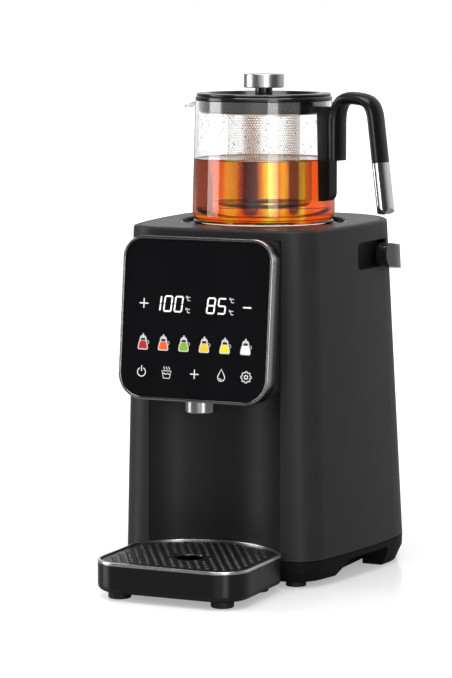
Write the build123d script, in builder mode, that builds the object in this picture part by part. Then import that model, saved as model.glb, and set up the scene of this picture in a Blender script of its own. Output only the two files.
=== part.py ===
"""Automatic tea maker: a heated deck with a glass teapot, a touch panel over a
cup niche, a pull-out drip tray and a water tank that draws out at the back.

Millimetres, +Z up, the front faces -Y. The origin is on the floor, under the
middle of the whole object. The teapot's axis is the axis of the deck.
"""

import os
from math import asin, cos, radians, sin

from build123d import *

os.makedirs("parts", exist_ok=True)

# ---------------------------------------------------------------- main sizes
deck_height = 297.0  # floor to deck
groove_height = 22.5  # floor to the joint of shell and base
foot_height = 5.0
wall = 3.0  # shell and base mouldings
thin_wall = 2.5  # panel, tray and tank mouldings
seam = 0.4  # gap between covers
slip = 0.6  # gap beside a piece that slides or lifts

# plan of the body at the deck and at the groove
deck_front_half = 79.2
deck_front = 101.9
deck_rear_half = 90.0
deck_rear = 99.8
deck_side_bow = 9.4
base_front_half = 85.0
base_front = 101.9
base_rear_half = 110.0
base_rear = 105.5
base_side_bow = 8.0
front_bow = 2.2
rear_bow = 6.0
front_radius = 29.5
rear_radius = 70.5

# deck, recess and warming plate
deck_edge_radius = 2.5
deck_inset = 5.0
deck_thickness = 3.0
ledge_width = 10.0
ledge_thickness = 3.5
recess_radius = 71.5
recess_depth = 4.0
recess_lip = 1.4
recess_flange = 4.5
plate_radius = 64.5
plate_thickness = 2.5
plate_drop = 2.5  # deck surface down to the plate
seal_width = 4.5
seal_height = 1.5
heater_ring_radius = 44.0
heater_ring_half = 6.0
thermostat_radius = 9.0

# front column, cup niche and panel
column_half = 60.0
niche_radius = 78.0
niche_centre = 152.0  # in front of the teapot axis
niche_top = 163.0
jamb_depth = 32.0
head_top_gap = 8.0  # housing top below the deck
head_back = 72.0  # rear end of the housing
panel_size = 135.0
panel_lean = 6.0  # degrees, bottom edge forward
panel_front = 141.3  # middle of the panel, in front of the teapot axis
panel_middle = 225.5  # middle of the panel, height
panel_top_radius = 18.0
panel_bottom_radius = 22.0
bezel_lip = 2.4
bezel_depth = 15.0
bezel_edge_radius = 1.0
glass_recess = 0.8
glass_thickness = 2.0
board_thickness = 1.6
board_gap = 5.0  # glass to the display board
digit_width = 10.5
digit_height = 14.0
pad_radius = 3.5
icon_pitch = 18.3
low_pitch = 23.4
key_reach = 46.0  # plus and minus keys from the middle
key_rise = 12.5  # plus and minus keys above the middle
icon_drop = 20.3
low_drop = 44.5

# outlet
outlet_distance = 128.5
outlet_radius = 13.0
outlet_bottom = 148.0
outlet_bore = 4.0
outlet_flange = 3.0
outlet_neck = 12.0
tip_radius = 8.0

# drip tray
tray_front = 206.0
tray_half = 67.0
tray_radius = 26.0
tray_bottom = 6.0
tray_top = 31.5
tray_gap = 2.0  # tray rear to the niche wall
tray_edge_radius = 5.0
trim_width = 2.2
trim_height = 2.4
grille_thickness = 1.6
grille_drop = 1.2
grille_hole = 2.1
grille_pitch = 7.5
grille_margin = 5.0
drain_radius = 12.5
tray_foot_radius = 9.5
tray_foot_x = 46.0
tray_foot_back = 18.0  # front of the tray to the middle of its front feet

# water tank at the back
bay_front = 45.0  # bulkhead face, behind the teapot axis
bay_drop = 15.0  # deck down to the roof of the bay
bay_roof = 3.0
tank_drop = 7.0  # roof of the bay down to the tank lid
tank_floor = 3.0
tank_lid_thickness = 2.5
mouth_width = 70.0
mouth_depth = 24.0
grip_stand = 10.0  # grip proud of the body
grip_height = 20.0
grip_end = 18.0  # front end of the grip, behind the teapot axis
grip_drop = 27.0  # deck down to its middle at the front end
grip_slope = 7.0  # degrees down to the back
scoop_depth = 10.0
scoop_half_length = 46.0
scoop_centre = 25.0
scoop_height = 23.0
valve_height = 44.0
valve_radius = 9.0
valve_length = 14.0
spigot_radius = 5.0
spigot_reach = 6.0

# notch in each side of the base
base_bottom_inset = 7.0
base_shoulder = 13.0
base_shoulder_inset = 0.8
notch_front = 51.5  # middle of the slope at its front end
notch_rear = 22.0
notch_top = 17.5
notch_inner = 84.0
notch_slope = 11.0  # length of the slope at its front end
leg_bottom = 0.8  # floor to the underside of the rear legs
leg_length = 50.0

# parts inside the body
boss_radius = 4.5
screw_radius = 1.9
screw_head_radius = 3.6
pump_radius = 17.0
pump_height = 62.0
pump_x = 38.0
inner_y = -5.0  # pump and water heater, from the teapot axis
tube_radius = 15.0
tube_x = -35.0
tube_bottom = 52.0
tube_height = 136.0
hose_radius = 3.6
hose_bore = 2.2
hose_bend = 11.0
inlet_x = 30.0
inlet_width = 26.0
inlet_height = 13.0
inlet_depth = 18.0
board_stand = 7.0  # power board in front of the bulkhead
board_low = 112.0
board_high = 212.0
board_half_x = 40.0
reach_out = 200.0  # half-size of blocks that cut right across the body

# feet
body_foot_radius = 8.5
front_foot_x = 66.5
front_foot_y = -84.0
rear_foot_x = 92.0
rear_foot_y = 44.0

# teapot
pot_radius = 61.0
pot_rim_radius = 58.5
pot_height = 105.0
pot_wall = 2.4
pot_floor = 5.0
pot_waist_radius = 58.8
pot_waist_height = 4.0
pot_shoulder_height = 9.0
spout_reach = 81.5
spout_droop = 6.5  # rim down to the end of the lip
spout_bend_start = 3.0  # rim to where the lip starts to bend
spout_groove = 0.9
spout_tip_radius = 5.5
spout_root_half = 16.0
handle_turn = -12.0  # degrees from +X
post_outer = 72.0
post_width = 11.0
post_bottom = 21.6  # above the foot of the pot
post_top = 101.0
grip_thickness = 10.8
grip_width = 21.0
leg_inner = 76.2  # radii of the two legs of the handle
leg_outer_top = 114.5
leg_outer_bottom = 125.2
arch_middle = 97.0
arch_height = 108.4  # above the foot of the pot
leg_shoulder = 91.5
grip_bottom = 56.2
tip_joint = 55.6
tip_bottom = 12.6
tip_radius_limit = 8.0

# infuser and lid
collar_radius = 58.4
collar_height = 4.0
collar_skirt_radius = 55.2
collar_skirt_drop = 10.0
collar_opening = 51.0
basket_radius = 30.8
basket_bottom = 15.0  # above the foot of the pot
basket_wall = 0.9
basket_hole = 1.3
basket_rows = 8
basket_row_pitch = 8.4
basket_slots = 12
basket_slot_length = 9.0
lid_radius = 57.6
lid_thickness = 2.2
dish_radius = 47.5
dish_depth = 4.6
dish_wall = 1.6
knob_radius = 17.25
knob_height = 11.7
knob_rise = 4.5  # lid top to the underside of the knob
stem_radius = 7.5
knob_edge_radius = 0.8


# ------------------------------------------------------------------- outlines
def outline(height, inset=0.0):
    """Plan of the body at a height about the teapot axis, drawn in by inset."""
    lean = (deck_height - height) / (deck_height - groove_height)
    front_half = deck_front_half + lean * (base_front_half - deck_front_half) - inset
    front = deck_front + lean * (base_front - deck_front) - inset
    rear_half = deck_rear_half + lean * (base_rear_half - deck_rear_half) - inset
    rear = deck_rear + lean * (base_rear - deck_rear) - inset
    bow = deck_side_bow + lean * (base_side_bow - deck_side_bow)
    side_x = (front_half + rear_half) / 2 + bow
    side_y = (rear - front) / 2
    with BuildSketch() as plan:
        with BuildLine():
            ThreePointArc((-front_half, -front), (0, -front - front_bow), (front_half, -front))
            ThreePointArc((front_half, -front), (side_x, side_y), (rear_half, rear))
            ThreePointArc((rear_half, rear), (0, rear + rear_bow), (-rear_half, rear))
            ThreePointArc((-rear_half, rear), (-side_x, side_y), (-front_half, -front))
        make_face()
        fillet(plan.vertices().group_by(Axis.Y)[0], front_radius - inset)
        fillet(plan.vertices().group_by(Axis.Y)[-1], rear_radius - inset)
    return plan.sketch


def half_width(height, y):
    """Half-width of the body at a height and a depth."""
    with BuildSketch() as strip:
        add(outline(height))
        with Locations((0, y)):
            Rectangle(4 * base_rear_half, 0.2, mode=Mode.INTERSECT)
    return strip.sketch.bounding_box().max.X


# ------------------------------------------------------------ derived values
board_y = bay_front - wall - board_stand
bay_top = deck_height - bay_drop
tank_top = bay_top - tank_drop
grip_middle = deck_height - grip_drop
body_half = outline(groove_height).bounding_box().max.X
handle_cos = cos(radians(handle_turn))
handle_sin = sin(radians(handle_turn))
handle_round = ((grip_thickness * handle_cos) ** 2 + (grip_width * handle_sin) ** 2) ** 0.5 / 2
handle_side = leg_outer_bottom * handle_cos + handle_round
grip_fall = (base_rear - grip_end) * sin(radians(grip_slope))
grip_low = grip_middle - grip_height / 2 - grip_fall
grip_rear = outline(grip_low).bounding_box().max.Y + grip_stand
body_rear = max(outline(groove_height).bounding_box().max.Y, grip_rear)
axis_x = (body_half - handle_side) / 2  # teapot axis from the middle of the object
axis_y = (tray_front - body_rear) / 2
spindle = Axis((axis_x, axis_y, 0), (0, 0, 1))

plate_top = deck_height - plate_drop
plate_bottom = plate_top - plate_thickness
ledge_top = deck_height - deck_thickness
ledge_bottom = ledge_top - ledge_thickness
head_top = deck_height - head_top_gap
pot_foot = plate_top
pot_rim = pot_foot + pot_height
collar_top = pot_rim + collar_height
lid_top = collar_top + lid_thickness
knob_bottom = lid_top + knob_rise
base_top = groove_height - seam
base_inside = foot_height + wall
column_back = niche_radius + wall
tray_arc = niche_radius - tray_gap
tray_wall_top = tray_top - trim_height
grille_top = tray_top - grille_drop
grille_bottom = grille_top - grille_thickness
tank_bottom = groove_height + seam
tank_front = bay_front + slip
lid_ledge = tank_top - tank_lid_thickness
bay_half = outline(grip_middle).bounding_box().max.X


# ------------------------------------------------------------------- helpers
def level(height, x=0.0, y=0.0):
    """Horizontal plane at a height; its origin is x, y from the teapot axis."""
    return Plane((axis_x + x, axis_y + y, height))


def facing(y, x=0.0, height=0.0):
    """Upright plane across the object that looks to the front, local y up."""
    return Plane((axis_x + x, axis_y + y, height), x_dir=(1, 0, 0), z_dir=(0, -1, 0))


def beside(x):
    """Upright plane along the object that looks to the right, local y up."""
    return Plane((axis_x + x, axis_y, 0), x_dir=(0, 1, 0), z_dir=(1, 0, 0))


def upright(turn=0.0):
    """Upright plane through the teapot axis, local x outward at an angle."""
    c, s = cos(radians(turn)), sin(radians(turn))
    return Plane((axis_x, axis_y, 0), x_dir=(c, s, 0), z_dir=(s, -c, 0))


def outward(turn):
    """Upright plane on the teapot axis that looks outward, local y up."""
    c, s = cos(radians(turn)), sin(radians(turn))
    return Plane((axis_x, axis_y, 0), x_dir=(-s, c, 0), z_dir=(c, s, 0))


def panel_plane(depth=0.0):
    """Plane of the panel's front, or a plane behind it by depth."""
    c, s = cos(radians(panel_lean)), sin(radians(panel_lean))
    face = Plane((axis_x, axis_y - panel_front, panel_middle), x_dir=(1, 0, 0), z_dir=(0, -c, s))
    return face.offset(-depth)


def body_plan(height, inset=0.0):
    """Plan of the body in its place."""
    return level(height) * outline(height, inset)


def body_block(low, high, inset=0.0):
    """Solid between two heights that follows the surface of the body."""
    with BuildPart() as block:
        loft([body_plan(low, inset), body_plan(high, inset)])
    return block.part


def box_between(x0, x1, y0, y1, z0, z1):
    """Box between two corners given from the teapot axis and the floor."""
    with BuildPart(level(z0, (x0 + x1) / 2, (y0 + y1) / 2)) as block:
        Box(x1 - x0, y1 - y0, z1 - z0, align=(Align.CENTER, Align.CENTER, Align.MIN))
    return block.part


def round_bar(radius, low, high, x=0.0, y=0.0):
    """Upright cylinder, placed from the teapot axis."""
    with BuildPart(level(low, x, y)) as bar:
        Cylinder(radius, high - low, align=(Align.CENTER, Align.CENTER, Align.MIN))
    return bar.part


def level_bar(radius, front, rear, x, height):
    """Cylinder along the depth of the object, placed from the teapot axis."""
    with BuildPart(facing(rear, x, height)) as bar:
        Cylinder(radius, rear - front, align=(Align.CENTER, Align.CENTER, Align.MIN))
    return bar.part


def turned(points):
    """Solid of revolution about the teapot axis from radius and height points."""
    with BuildPart() as body:
        with BuildSketch(upright()):
            with BuildLine():
                Polyline(*points, close=True)
            make_face()
        revolve(axis=spindle)
    return body.part


def hose_run(points):
    """Hose of straight runs joined by bends, points from the teapot axis."""
    route = [(axis_x + x, axis_y + y, z) for x, y, z in points]
    with BuildPart() as hose:
        with BuildLine() as path:
            FilletPolyline(*route, radius=hose_bend)
        with BuildSketch(Plane(origin=path.line @ 0, z_dir=path.line % 0)):
            Circle(hose_radius)
            Circle(hose_bore, mode=Mode.SUBTRACT)
        sweep(path=path.line)
    return hose.part


def save(part, name):
    """Label a piece and write its file."""
    part.label = name
    export_step(part, f"parts/{name}.step")


# -------------------------------------------------------------- body mouldings
def scoop_block(grow=0.0):
    """Both finger scoops as solids, grown by a wall thickness."""
    surface = bay_half - slip
    radius = (scoop_half_length**2 + scoop_depth**2) / (2 * scoop_depth)
    centre_x = surface - scoop_depth + radius
    height = scoop_height + 2 * grow
    front = scoop_centre - scoop_half_length - grow
    length = 2 * scoop_half_length
    with BuildPart() as scoops:
        for side in (-1, 1):
            with BuildSketch(level(grip_middle - height, side * centre_x, scoop_centre)):
                Circle(radius + grow)
            extrude(amount=2 * height)
        with BuildSketch(beside(-2 * surface)):
            with Locations((front + length / 2, grip_middle)):
                RectangleRounded(length, height, height / 2 - 0.1)
        extrude(amount=4 * surface, mode=Mode.INTERSECT)
    return scoops.part


front_boss_y = jamb_depth - deck_front - 1.0
front_boss_x = column_half + wall + boss_radius - 1.0
rear_boss_x = 60.0
rear_boss_y = bay_front - wall - boss_radius + 1.5

with BuildPart() as cavity:
    add(body_block(groove_height + seam, ledge_bottom, wall))
    for side in (-1, 1):
        inner, outer = sorted((side * column_half, side * (column_half + wall)))
        jamb_end = jamb_depth - deck_front
        add(box_between(inner, outer, -140, jamb_end, 0, deck_height), mode=Mode.SUBTRACT)
        boss = round_bar(boss_radius, 0, 3 * groove_height, side * front_boss_x, front_boss_y)
        add(boss, mode=Mode.SUBTRACT)
    add(scoop_block(wall), mode=Mode.SUBTRACT)

with BuildPart() as body_shell:
    add(body_block(groove_height + seam, deck_height))
    fillet(body_shell.faces().sort_by(Axis.Z)[-1].edges(), deck_edge_radius)
    add(cavity.part, mode=Mode.SUBTRACT)
    add(box_between(-column_half, column_half, -140, -70, 0, head_top), mode=Mode.SUBTRACT)
    add(box_between(-140, 140, bay_front, 160, 0, bay_top), mode=Mode.SUBTRACT)
    add(scoop_block(), mode=Mode.SUBTRACT)
    opening = body_plan(deck_height, deck_inset)
    extrude(opening, amount=-deck_thickness, mode=Mode.SUBTRACT)
    opening = body_plan(deck_height, deck_inset + ledge_width)
    extrude(opening, amount=-deck_thickness - 2 * ledge_thickness, mode=Mode.SUBTRACT)
    for side in (-1, 1):
        hole = round_bar(screw_radius - 0.1, 0, 2 * groove_height, side * front_boss_x, front_boss_y)
        add(hole, mode=Mode.SUBTRACT)
save(body_shell.part, "body_shell")

with BuildPart() as splash_column:
    add(body_block(base_top, niche_top))
    half = column_half - seam
    add(box_between(-half, half, -140, -60, 0, niche_top), mode=Mode.INTERSECT)
    add(round_bar(column_back, 0, niche_top, y=-niche_centre), mode=Mode.INTERSECT)
    add(round_bar(niche_radius, 0, niche_top, y=-niche_centre), mode=Mode.SUBTRACT)
save(splash_column.part, "splash_column")

with BuildPart() as top_deck:
    extrude(body_plan(deck_height, deck_inset + seam), amount=-deck_thickness)
    add(round_bar(recess_radius, 0, deck_height + 1), mode=Mode.SUBTRACT)
save(top_deck.part, "top_deck")


def notch_block(grow=0.0):
    """Both side notches of the base, grown by a wall thickness."""
    rise = notch_top + grow - foot_height
    half_slope = notch_slope / 2
    with BuildPart() as notches:
        for side in (-1, 1):
            with BuildSketch(beside(side * (notch_inner - grow))) as profile:
                with BuildLine():
                    Polyline(
                        (-notch_front - half_slope - grow, 0),
                        (-notch_front - half_slope - grow, foot_height),
                        (-notch_front + half_slope - grow, foot_height + rise),
                        (notch_rear + grow, foot_height + rise),
                        (notch_rear + grow, 0),
                        close=True,
                    )
                make_face()
                fillet(profile.vertices().group_by(Axis.Y)[-1].sort_by(Axis.X)[0], 8)
                fillet(profile.vertices().group_by(Axis.Y)[-1].sort_by(Axis.X)[-1], 4)
            extrude(amount=side * 60)
    return notches.part


def body_feet_at(radius, low, high):
    """Four cylinders at the feet of the body."""
    with BuildPart() as feet:
        for side in (-1, 1):
            add(round_bar(radius, low, high, side * front_foot_x, front_foot_y))
            add(round_bar(radius, low, high, side * rear_foot_x, rear_foot_y))
    return feet.part


inlet_face = outline(base_shoulder).bounding_box().max.Y - 4.5
with BuildPart() as base_hollow:
    add(body_block(base_inside, base_top + 1, base_bottom_inset + wall))
    add(round_bar(column_back, 0, 60, y=-niche_centre), mode=Mode.SUBTRACT)
    add(notch_block(wall), mode=Mode.SUBTRACT)
    for side in (-1, 1):
        post = round_bar(boss_radius, 0, 60, side * front_boss_x, front_boss_y)
        add(post, mode=Mode.SUBTRACT)

with BuildPart() as under_base:
    add(box_between(-reach_out, reach_out, -reach_out, reach_out, 0, foot_height))
    for side in (-1, 1):
        inner, outer = sorted((side * notch_inner, side * reach_out))
        leg = box_between(inner, outer, notch_rear, notch_rear + leg_length, 0, foot_height)
        add(leg, mode=Mode.SUBTRACT)
    add(body_feet_at(body_foot_radius + 0.1, 0, foot_height))

with BuildPart() as base_skirt:
    sections = [
        body_plan(leg_bottom, base_bottom_inset),
        body_plan(base_shoulder, base_shoulder_inset),
        body_plan(base_top),
    ]
    loft(sections, ruled=True)
    add(round_bar(niche_radius, 0, 60, y=-niche_centre), mode=Mode.SUBTRACT)
    add(base_hollow.part, mode=Mode.SUBTRACT)
    add(notch_block(), mode=Mode.SUBTRACT)
    add(under_base.part, mode=Mode.SUBTRACT)
    half = inlet_width / 2 + 0.2
    inlet_hole = box_between(inlet_x - half, inlet_x + half, 90, 140, base_inside, 50)
    add(inlet_hole, mode=Mode.SUBTRACT)
    for side in (-1, 1):
        for x, y in ((front_boss_x, front_boss_y), (rear_boss_x, rear_boss_y)):
            hole = round_bar(screw_radius + 0.3, 0, 60, side * x, y)
            add(hole, mode=Mode.SUBTRACT)
save(base_skirt.part, "base_skirt")

with BuildPart() as body_feet:
    add(body_feet_at(body_foot_radius, 0, foot_height))
    chamfer(body_feet.faces().sort_by(Axis.Z)[0].edges(), 0.8)
save(body_feet.part, "body_feet")

with BuildPart() as bay_bulkhead:
    add(body_block(base_inside, bay_top, wall + slip))
    between = box_between(-140, 140, bay_front - wall, bay_front, 0, bay_top)
    add(between, mode=Mode.INTERSECT)
    below = box_between(-140, 140, 0, 90, 0, base_top + 1)
    keep = 2 * rear_boss_x + 4 * boss_radius
    add(below, mode=Mode.SUBTRACT)
    foot = box_between(-keep / 2, keep / 2, bay_front - wall, bay_front, base_inside, base_top + 1)
    add(foot)
    roof = body_block(bay_top - bay_roof, bay_top, thin_wall + slip)
    rear_half_space = box_between(-140, 140, bay_front - wall, 160, 0, bay_top)
    for side in (-1, 1):
        add(round_bar(boss_radius, base_inside, 30, side * rear_boss_x, rear_boss_y))
        hole = round_bar(screw_radius - 0.1, 0, 29, side * rear_boss_x, rear_boss_y)
        add(hole, mode=Mode.SUBTRACT)
    add(roof & rear_half_space)
    add(scoop_block(wall + slip), mode=Mode.SUBTRACT)
    for side in (-1, 1):
        post_x = half_width(ledge_bottom, 70) - wall - 5
        add(round_bar(4, bay_top - 1, ledge_bottom, side * post_x, 70))
    for side in (-1, 1):
        for height in (board_low + 8, board_high - 8):
            add(level_bar(3, board_y + board_thickness, bay_front - 1, side * board_half_x, height))
    hole = level_bar(spigot_radius + 0.2, bay_front - 10, bay_front + 10, 0, valve_height)
    add(hole, mode=Mode.SUBTRACT)
save(bay_bulkhead.part, "bay_bulkhead")

# ------------------------------------------------------ recess, warming plate
step = plate_bottom - seal_height
dish_points = [
    (plate_radius + seam, deck_height - recess_depth),
    (recess_radius - seam - recess_lip, deck_height - recess_depth),
    (recess_radius - seam - recess_lip, deck_height - 0.5),
    (recess_radius - seam, deck_height - 0.5),
    (recess_radius - seam, ledge_top),
    (recess_radius + recess_flange, ledge_top),
    (recess_radius + recess_flange, ledge_top - 2.5),
    (plate_radius + 3, ledge_top - 2.5),
    (plate_radius + 3, step - 2),
    (plate_radius - seal_width - 2, step - 2),
    (plate_radius - seal_width - 2, step),
    (plate_radius + seam, step),
]
with BuildPart() as recess_dish:
    add(turned(dish_points))
save(recess_dish.part, "recess_dish")

with BuildPart() as warming_plate:
    add(round_bar(plate_radius, plate_bottom, plate_top))
    fillet(warming_plate.faces().sort_by(Axis.Z)[-1].edges(), 0.8)
save(warming_plate.part, "warming_plate")

with BuildPart() as plate_seal:
    add(round_bar(plate_radius, step, plate_bottom))
    add(round_bar(plate_radius - seal_width, 0, deck_height), mode=Mode.SUBTRACT)
save(plate_seal.part, "plate_seal")

with BuildPart() as heater_element:
    add(round_bar(heater_ring_radius + heater_ring_half, plate_bottom - 4, plate_bottom))
    inner = heater_ring_radius - heater_ring_half
    add(round_bar(inner, 0, deck_height), mode=Mode.SUBTRACT)
    add(box_between(-5, 5, -inner - 20, -inner + 10, 0, deck_height), mode=Mode.SUBTRACT)
save(heater_element.part, "heater_element")

with BuildPart() as plate_thermostat:
    add(round_bar(thermostat_radius, plate_bottom - 4, plate_bottom))
    for side in (-1, 1):
        add(round_bar(1.2, plate_bottom - 7, plate_bottom - 3, side * 5))
save(plate_thermostat.part, "plate_thermostat")


# --------------------------------------------------------------- head and panel
def panel_block(inset, depth, length):
    """Slab behind the panel plane with the panel's rounded outline."""
    size = panel_size - 2 * inset
    with BuildPart() as slab:
        with BuildSketch(panel_plane(depth)) as face:
            Rectangle(size, size)
            fillet(face.vertices().group_by(Axis.Y)[-1], panel_top_radius - inset)
            fillet(face.vertices().group_by(Axis.Y)[0], panel_bottom_radius - inset)
        extrude(amount=-length)
    return slab.part


head_face = max(deck_front, base_front) + front_bow + seam


def housing_core(inset):
    """Solid from the back of the bezel to the niche wall, drawn in by inset."""
    size = panel_size - 2 * inset - 2
    low = niche_top + inset
    high = head_top - inset
    half = column_half - seam - inset
    with BuildPart() as core:
        with BuildSketch(panel_plane(bezel_depth)):
            RectangleRounded(size, size, panel_top_radius - inset)
        with BuildSketch(facing(-head_face, 0, (low + high) / 2)):
            RectangleRounded(2 * half, high - low, 4)
        loft()
        with BuildSketch(facing(-head_back, 0, (low + high) / 2)):
            RectangleRounded(2 * half, high - low, 4)
        extrude(amount=head_face - head_back)
    return core.part


housing_floor = niche_top + thin_wall
neck_top = housing_floor + outlet_flange + outlet_neck
with BuildPart() as panel_housing:
    add(housing_core(0))
    add(panel_block(bezel_lip + 0.1, glass_recess + glass_thickness, bezel_depth))
    inner = housing_core(thin_wall)
    add(inner, mode=Mode.SUBTRACT)
    window = panel_block(bezel_lip + thin_wall, 0, bezel_depth + 1)
    add(window, mode=Mode.SUBTRACT)
    half = column_half - seam - thin_wall
    rear_hole = box_between(-half, half, -head_back - 2, -head_back + 2, niche_top + thin_wall, head_top - thin_wall)
    add(rear_hole, mode=Mode.SUBTRACT)
    add(round_bar(outlet_radius + 0.2, 0, housing_floor, y=-outlet_distance), mode=Mode.SUBTRACT)
    flange_room = round_bar(outlet_radius + 3.3, housing_floor, neck_top, y=-outlet_distance)
    add(flange_room, mode=Mode.SUBTRACT)
save(panel_housing.part, "panel_housing")

with BuildPart() as panel_bezel:
    add(panel_block(0, 0, bezel_depth))
    rim = panel_bezel.faces().sort_by(Axis.Y)[0].edges()
    fillet(rim, bezel_edge_radius)
    add(panel_block(bezel_lip, -1, bezel_depth + 2), mode=Mode.SUBTRACT)
    add(round_bar(outlet_radius + seam, 0, niche_top + 20, y=-outlet_distance), mode=Mode.SUBTRACT)
save(panel_bezel.part, "panel_bezel")

with BuildPart() as panel_glass:
    add(panel_block(bezel_lip + 0.1, glass_recess, glass_thickness))
save(panel_glass.part, "panel_glass")

board_depth = glass_recess + glass_thickness + board_gap
with BuildPart() as display_board:
    add(panel_block(bezel_lip + thin_wall + 0.3, board_depth, board_thickness))
    add(round_bar(outlet_radius + 5, 0, neck_top + 5, y=-outlet_distance), mode=Mode.SUBTRACT)
save(display_board.part, "display_board")

with BuildPart() as display_modules:
    with BuildSketch(panel_plane(board_depth)):
        with Locations((-key_reach / 2, key_rise), (key_reach / 2 - 5, key_rise)):
            Rectangle(3 * digit_width, digit_height + 5)
    extrude(amount=board_gap - 0.5)
save(display_modules.part, "display_modules")

pad_spots = [(-key_reach, key_rise), (key_reach, key_rise)]
for i in range(6):
    pad_spots.append(((i - 2.5) * icon_pitch, -icon_drop))
for i in range(5):
    pad_spots.append(((i - 2) * low_pitch, -low_drop))
with BuildPart() as touch_pads:
    with BuildSketch(panel_plane(board_depth)):
        with Locations(*pad_spots):
            Circle(pad_radius)
            Circle(pad_radius - 1.2, mode=Mode.SUBTRACT)
    extrude(amount=board_gap)
save(touch_pads.part, "touch_pads")

# ---------------------------------------------------------------------- outlet
with BuildPart() as outlet_nozzle:
    add(round_bar(outlet_radius, outlet_bottom, housing_floor, y=-outlet_distance))
    add(round_bar(outlet_radius + 3, housing_floor, housing_floor + outlet_flange, y=-outlet_distance))
    add(round_bar(hose_bore, housing_floor, neck_top, y=-outlet_distance))
    fillet(outlet_nozzle.faces().sort_by(Axis.Z)[0].edges(), 1.0)
    add(round_bar(tip_radius, 0, outlet_bottom + 4, y=-outlet_distance), mode=Mode.SUBTRACT)
    add(round_bar(hose_bore - 0.8, 0, neck_top + 1, y=-outlet_distance), mode=Mode.SUBTRACT)
save(outlet_nozzle.part, "outlet_nozzle")

with BuildPart() as outlet_tip:
    add(round_bar(tip_radius, outlet_bottom + 0.5, outlet_bottom + 4, y=-outlet_distance))
    for side in (-1, 1):
        jet = round_bar(1.4, 0, niche_top, side * tip_radius / 2, -outlet_distance)
        add(jet, mode=Mode.SUBTRACT)
    add(round_bar(hose_bore - 0.8, 0, niche_top, y=-outlet_distance), mode=Mode.SUBTRACT)
save(outlet_tip.part, "outlet_tip")


# ------------------------------------------------------------------- drip tray
def tray_plan(height, inset=0.0):
    """Plan of the drip tray, drawn in by inset."""
    reach = tray_arc - inset
    half = tray_half - inset
    front = tray_front - inset
    with BuildSketch(level(height)) as plan:
        with Locations((0, -niche_centre)):
            Circle(reach)
            Rectangle(2 * reach, 2 * reach, align=(Align.CENTER, Align.MAX))
        with Locations((0, -front)):
            Rectangle(
                2 * half,
                2 * tray_front,
                align=(Align.CENTER, Align.MIN),
                mode=Mode.INTERSECT,
            )
        fillet(plan.vertices().group_by(Axis.Y)[0], tray_radius - inset)
        fillet(plan.vertices().filter_by_position(Axis.Y, -niche_centre, 0), 12)
    return plan.sketch


def tray_block(low, high, inset=0.0):
    """Slab of the drip tray's plan between two heights."""
    with BuildPart() as slab:
        extrude(tray_plan(low, inset), amount=high - low)
    return slab.part


with BuildPart() as drip_tray:
    add(tray_block(tray_bottom, tray_wall_top))
    fillet(drip_tray.faces().sort_by(Axis.Z)[0].edges(), tray_edge_radius)
    ledge = grille_bottom - 2
    add(tray_block(tray_bottom + thin_wall, ledge - 3, thin_wall), mode=Mode.SUBTRACT)
    add(tray_block(ledge - 3.1, ledge, thin_wall + 2.5), mode=Mode.SUBTRACT)
    add(tray_block(ledge - 0.1, tray_top, thin_wall), mode=Mode.SUBTRACT)
save(drip_tray.part, "drip_tray")

with BuildPart() as tray_trim:
    add(tray_block(tray_wall_top, tray_top))
    fillet(tray_trim.faces().sort_by(Axis.Z)[-1].edges(), 0.7)
    add(tray_block(0, tray_top + 1, trim_width), mode=Mode.SUBTRACT)
save(tray_trim.part, "tray_trim")

with BuildPart() as tray_grille:
    add(tray_block(grille_bottom, grille_top, trim_width + slip))
    add(tray_block(ledge, grille_bottom, thin_wall + slip))
    add(tray_block(0, grille_bottom, thin_wall + slip + 2), mode=Mode.SUBTRACT)
    rows = round(2 * tray_arc / (grille_pitch * sin(radians(60))))
    half_width_limit = tray_half - thin_wall - slip - grille_margin
    with BuildSketch(level(grille_bottom, 0, -niche_centre)):
        for row in range(-rows // 2, rows // 2 + 1):
            y = row * grille_pitch * sin(radians(60))
            count = round(2 * tray_half / grille_pitch) + row % 2
            for i in range(count):
                x = (i - (count - 1) / 2) * grille_pitch
                radius = (x**2 + y**2) ** 0.5
                inside = radius < tray_arc - grille_margin - 4 or y < 0
                front_limit = tray_front - niche_centre - grille_margin - 4
                corner_x = abs(x) - (tray_half - tray_radius)
                corner_y = -y - (tray_front - niche_centre - tray_radius)
                corner = corner_x > 0 and corner_y > 0
                rim = (corner_x**2 + corner_y**2) ** 0.5
                if corner and rim > tray_radius - grille_margin - 4:
                    inside = False
                if inside and -y < front_limit and abs(x) < half_width_limit:
                    if radius > drain_radius + grille_hole + 2:
                        with Locations((x, y)):
                            Circle(grille_hole)
        Circle(drain_radius)
    extrude(amount=grille_thickness, mode=Mode.SUBTRACT)
save(tray_grille.part, "tray_grille")

with BuildPart() as tray_feet:
    for side in (-1, 1):
        for y in (-tray_front + tray_foot_back, -niche_centre + 34):
            add(round_bar(tray_foot_radius, 0, tray_bottom, side * tray_foot_x, y))
    chamfer(tray_feet.faces().group_by(Axis.Z)[0].edges(), 0.8)
save(tray_feet.part, "tray_feet")

# ------------------------------------------------------------------ water tank
hollow = body_block(tank_bottom + tank_floor, bay_top, thin_wall)
behind = box_between(-reach_out, reach_out, tank_front, reach_out, 0, deck_height)
within = box_between(-reach_out, reach_out, tank_front + thin_wall, reach_out, 0, deck_height)
mouth = box_between(-reach_out, reach_out, tank_front - 1, reach_out, tank_top, deck_height)

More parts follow.
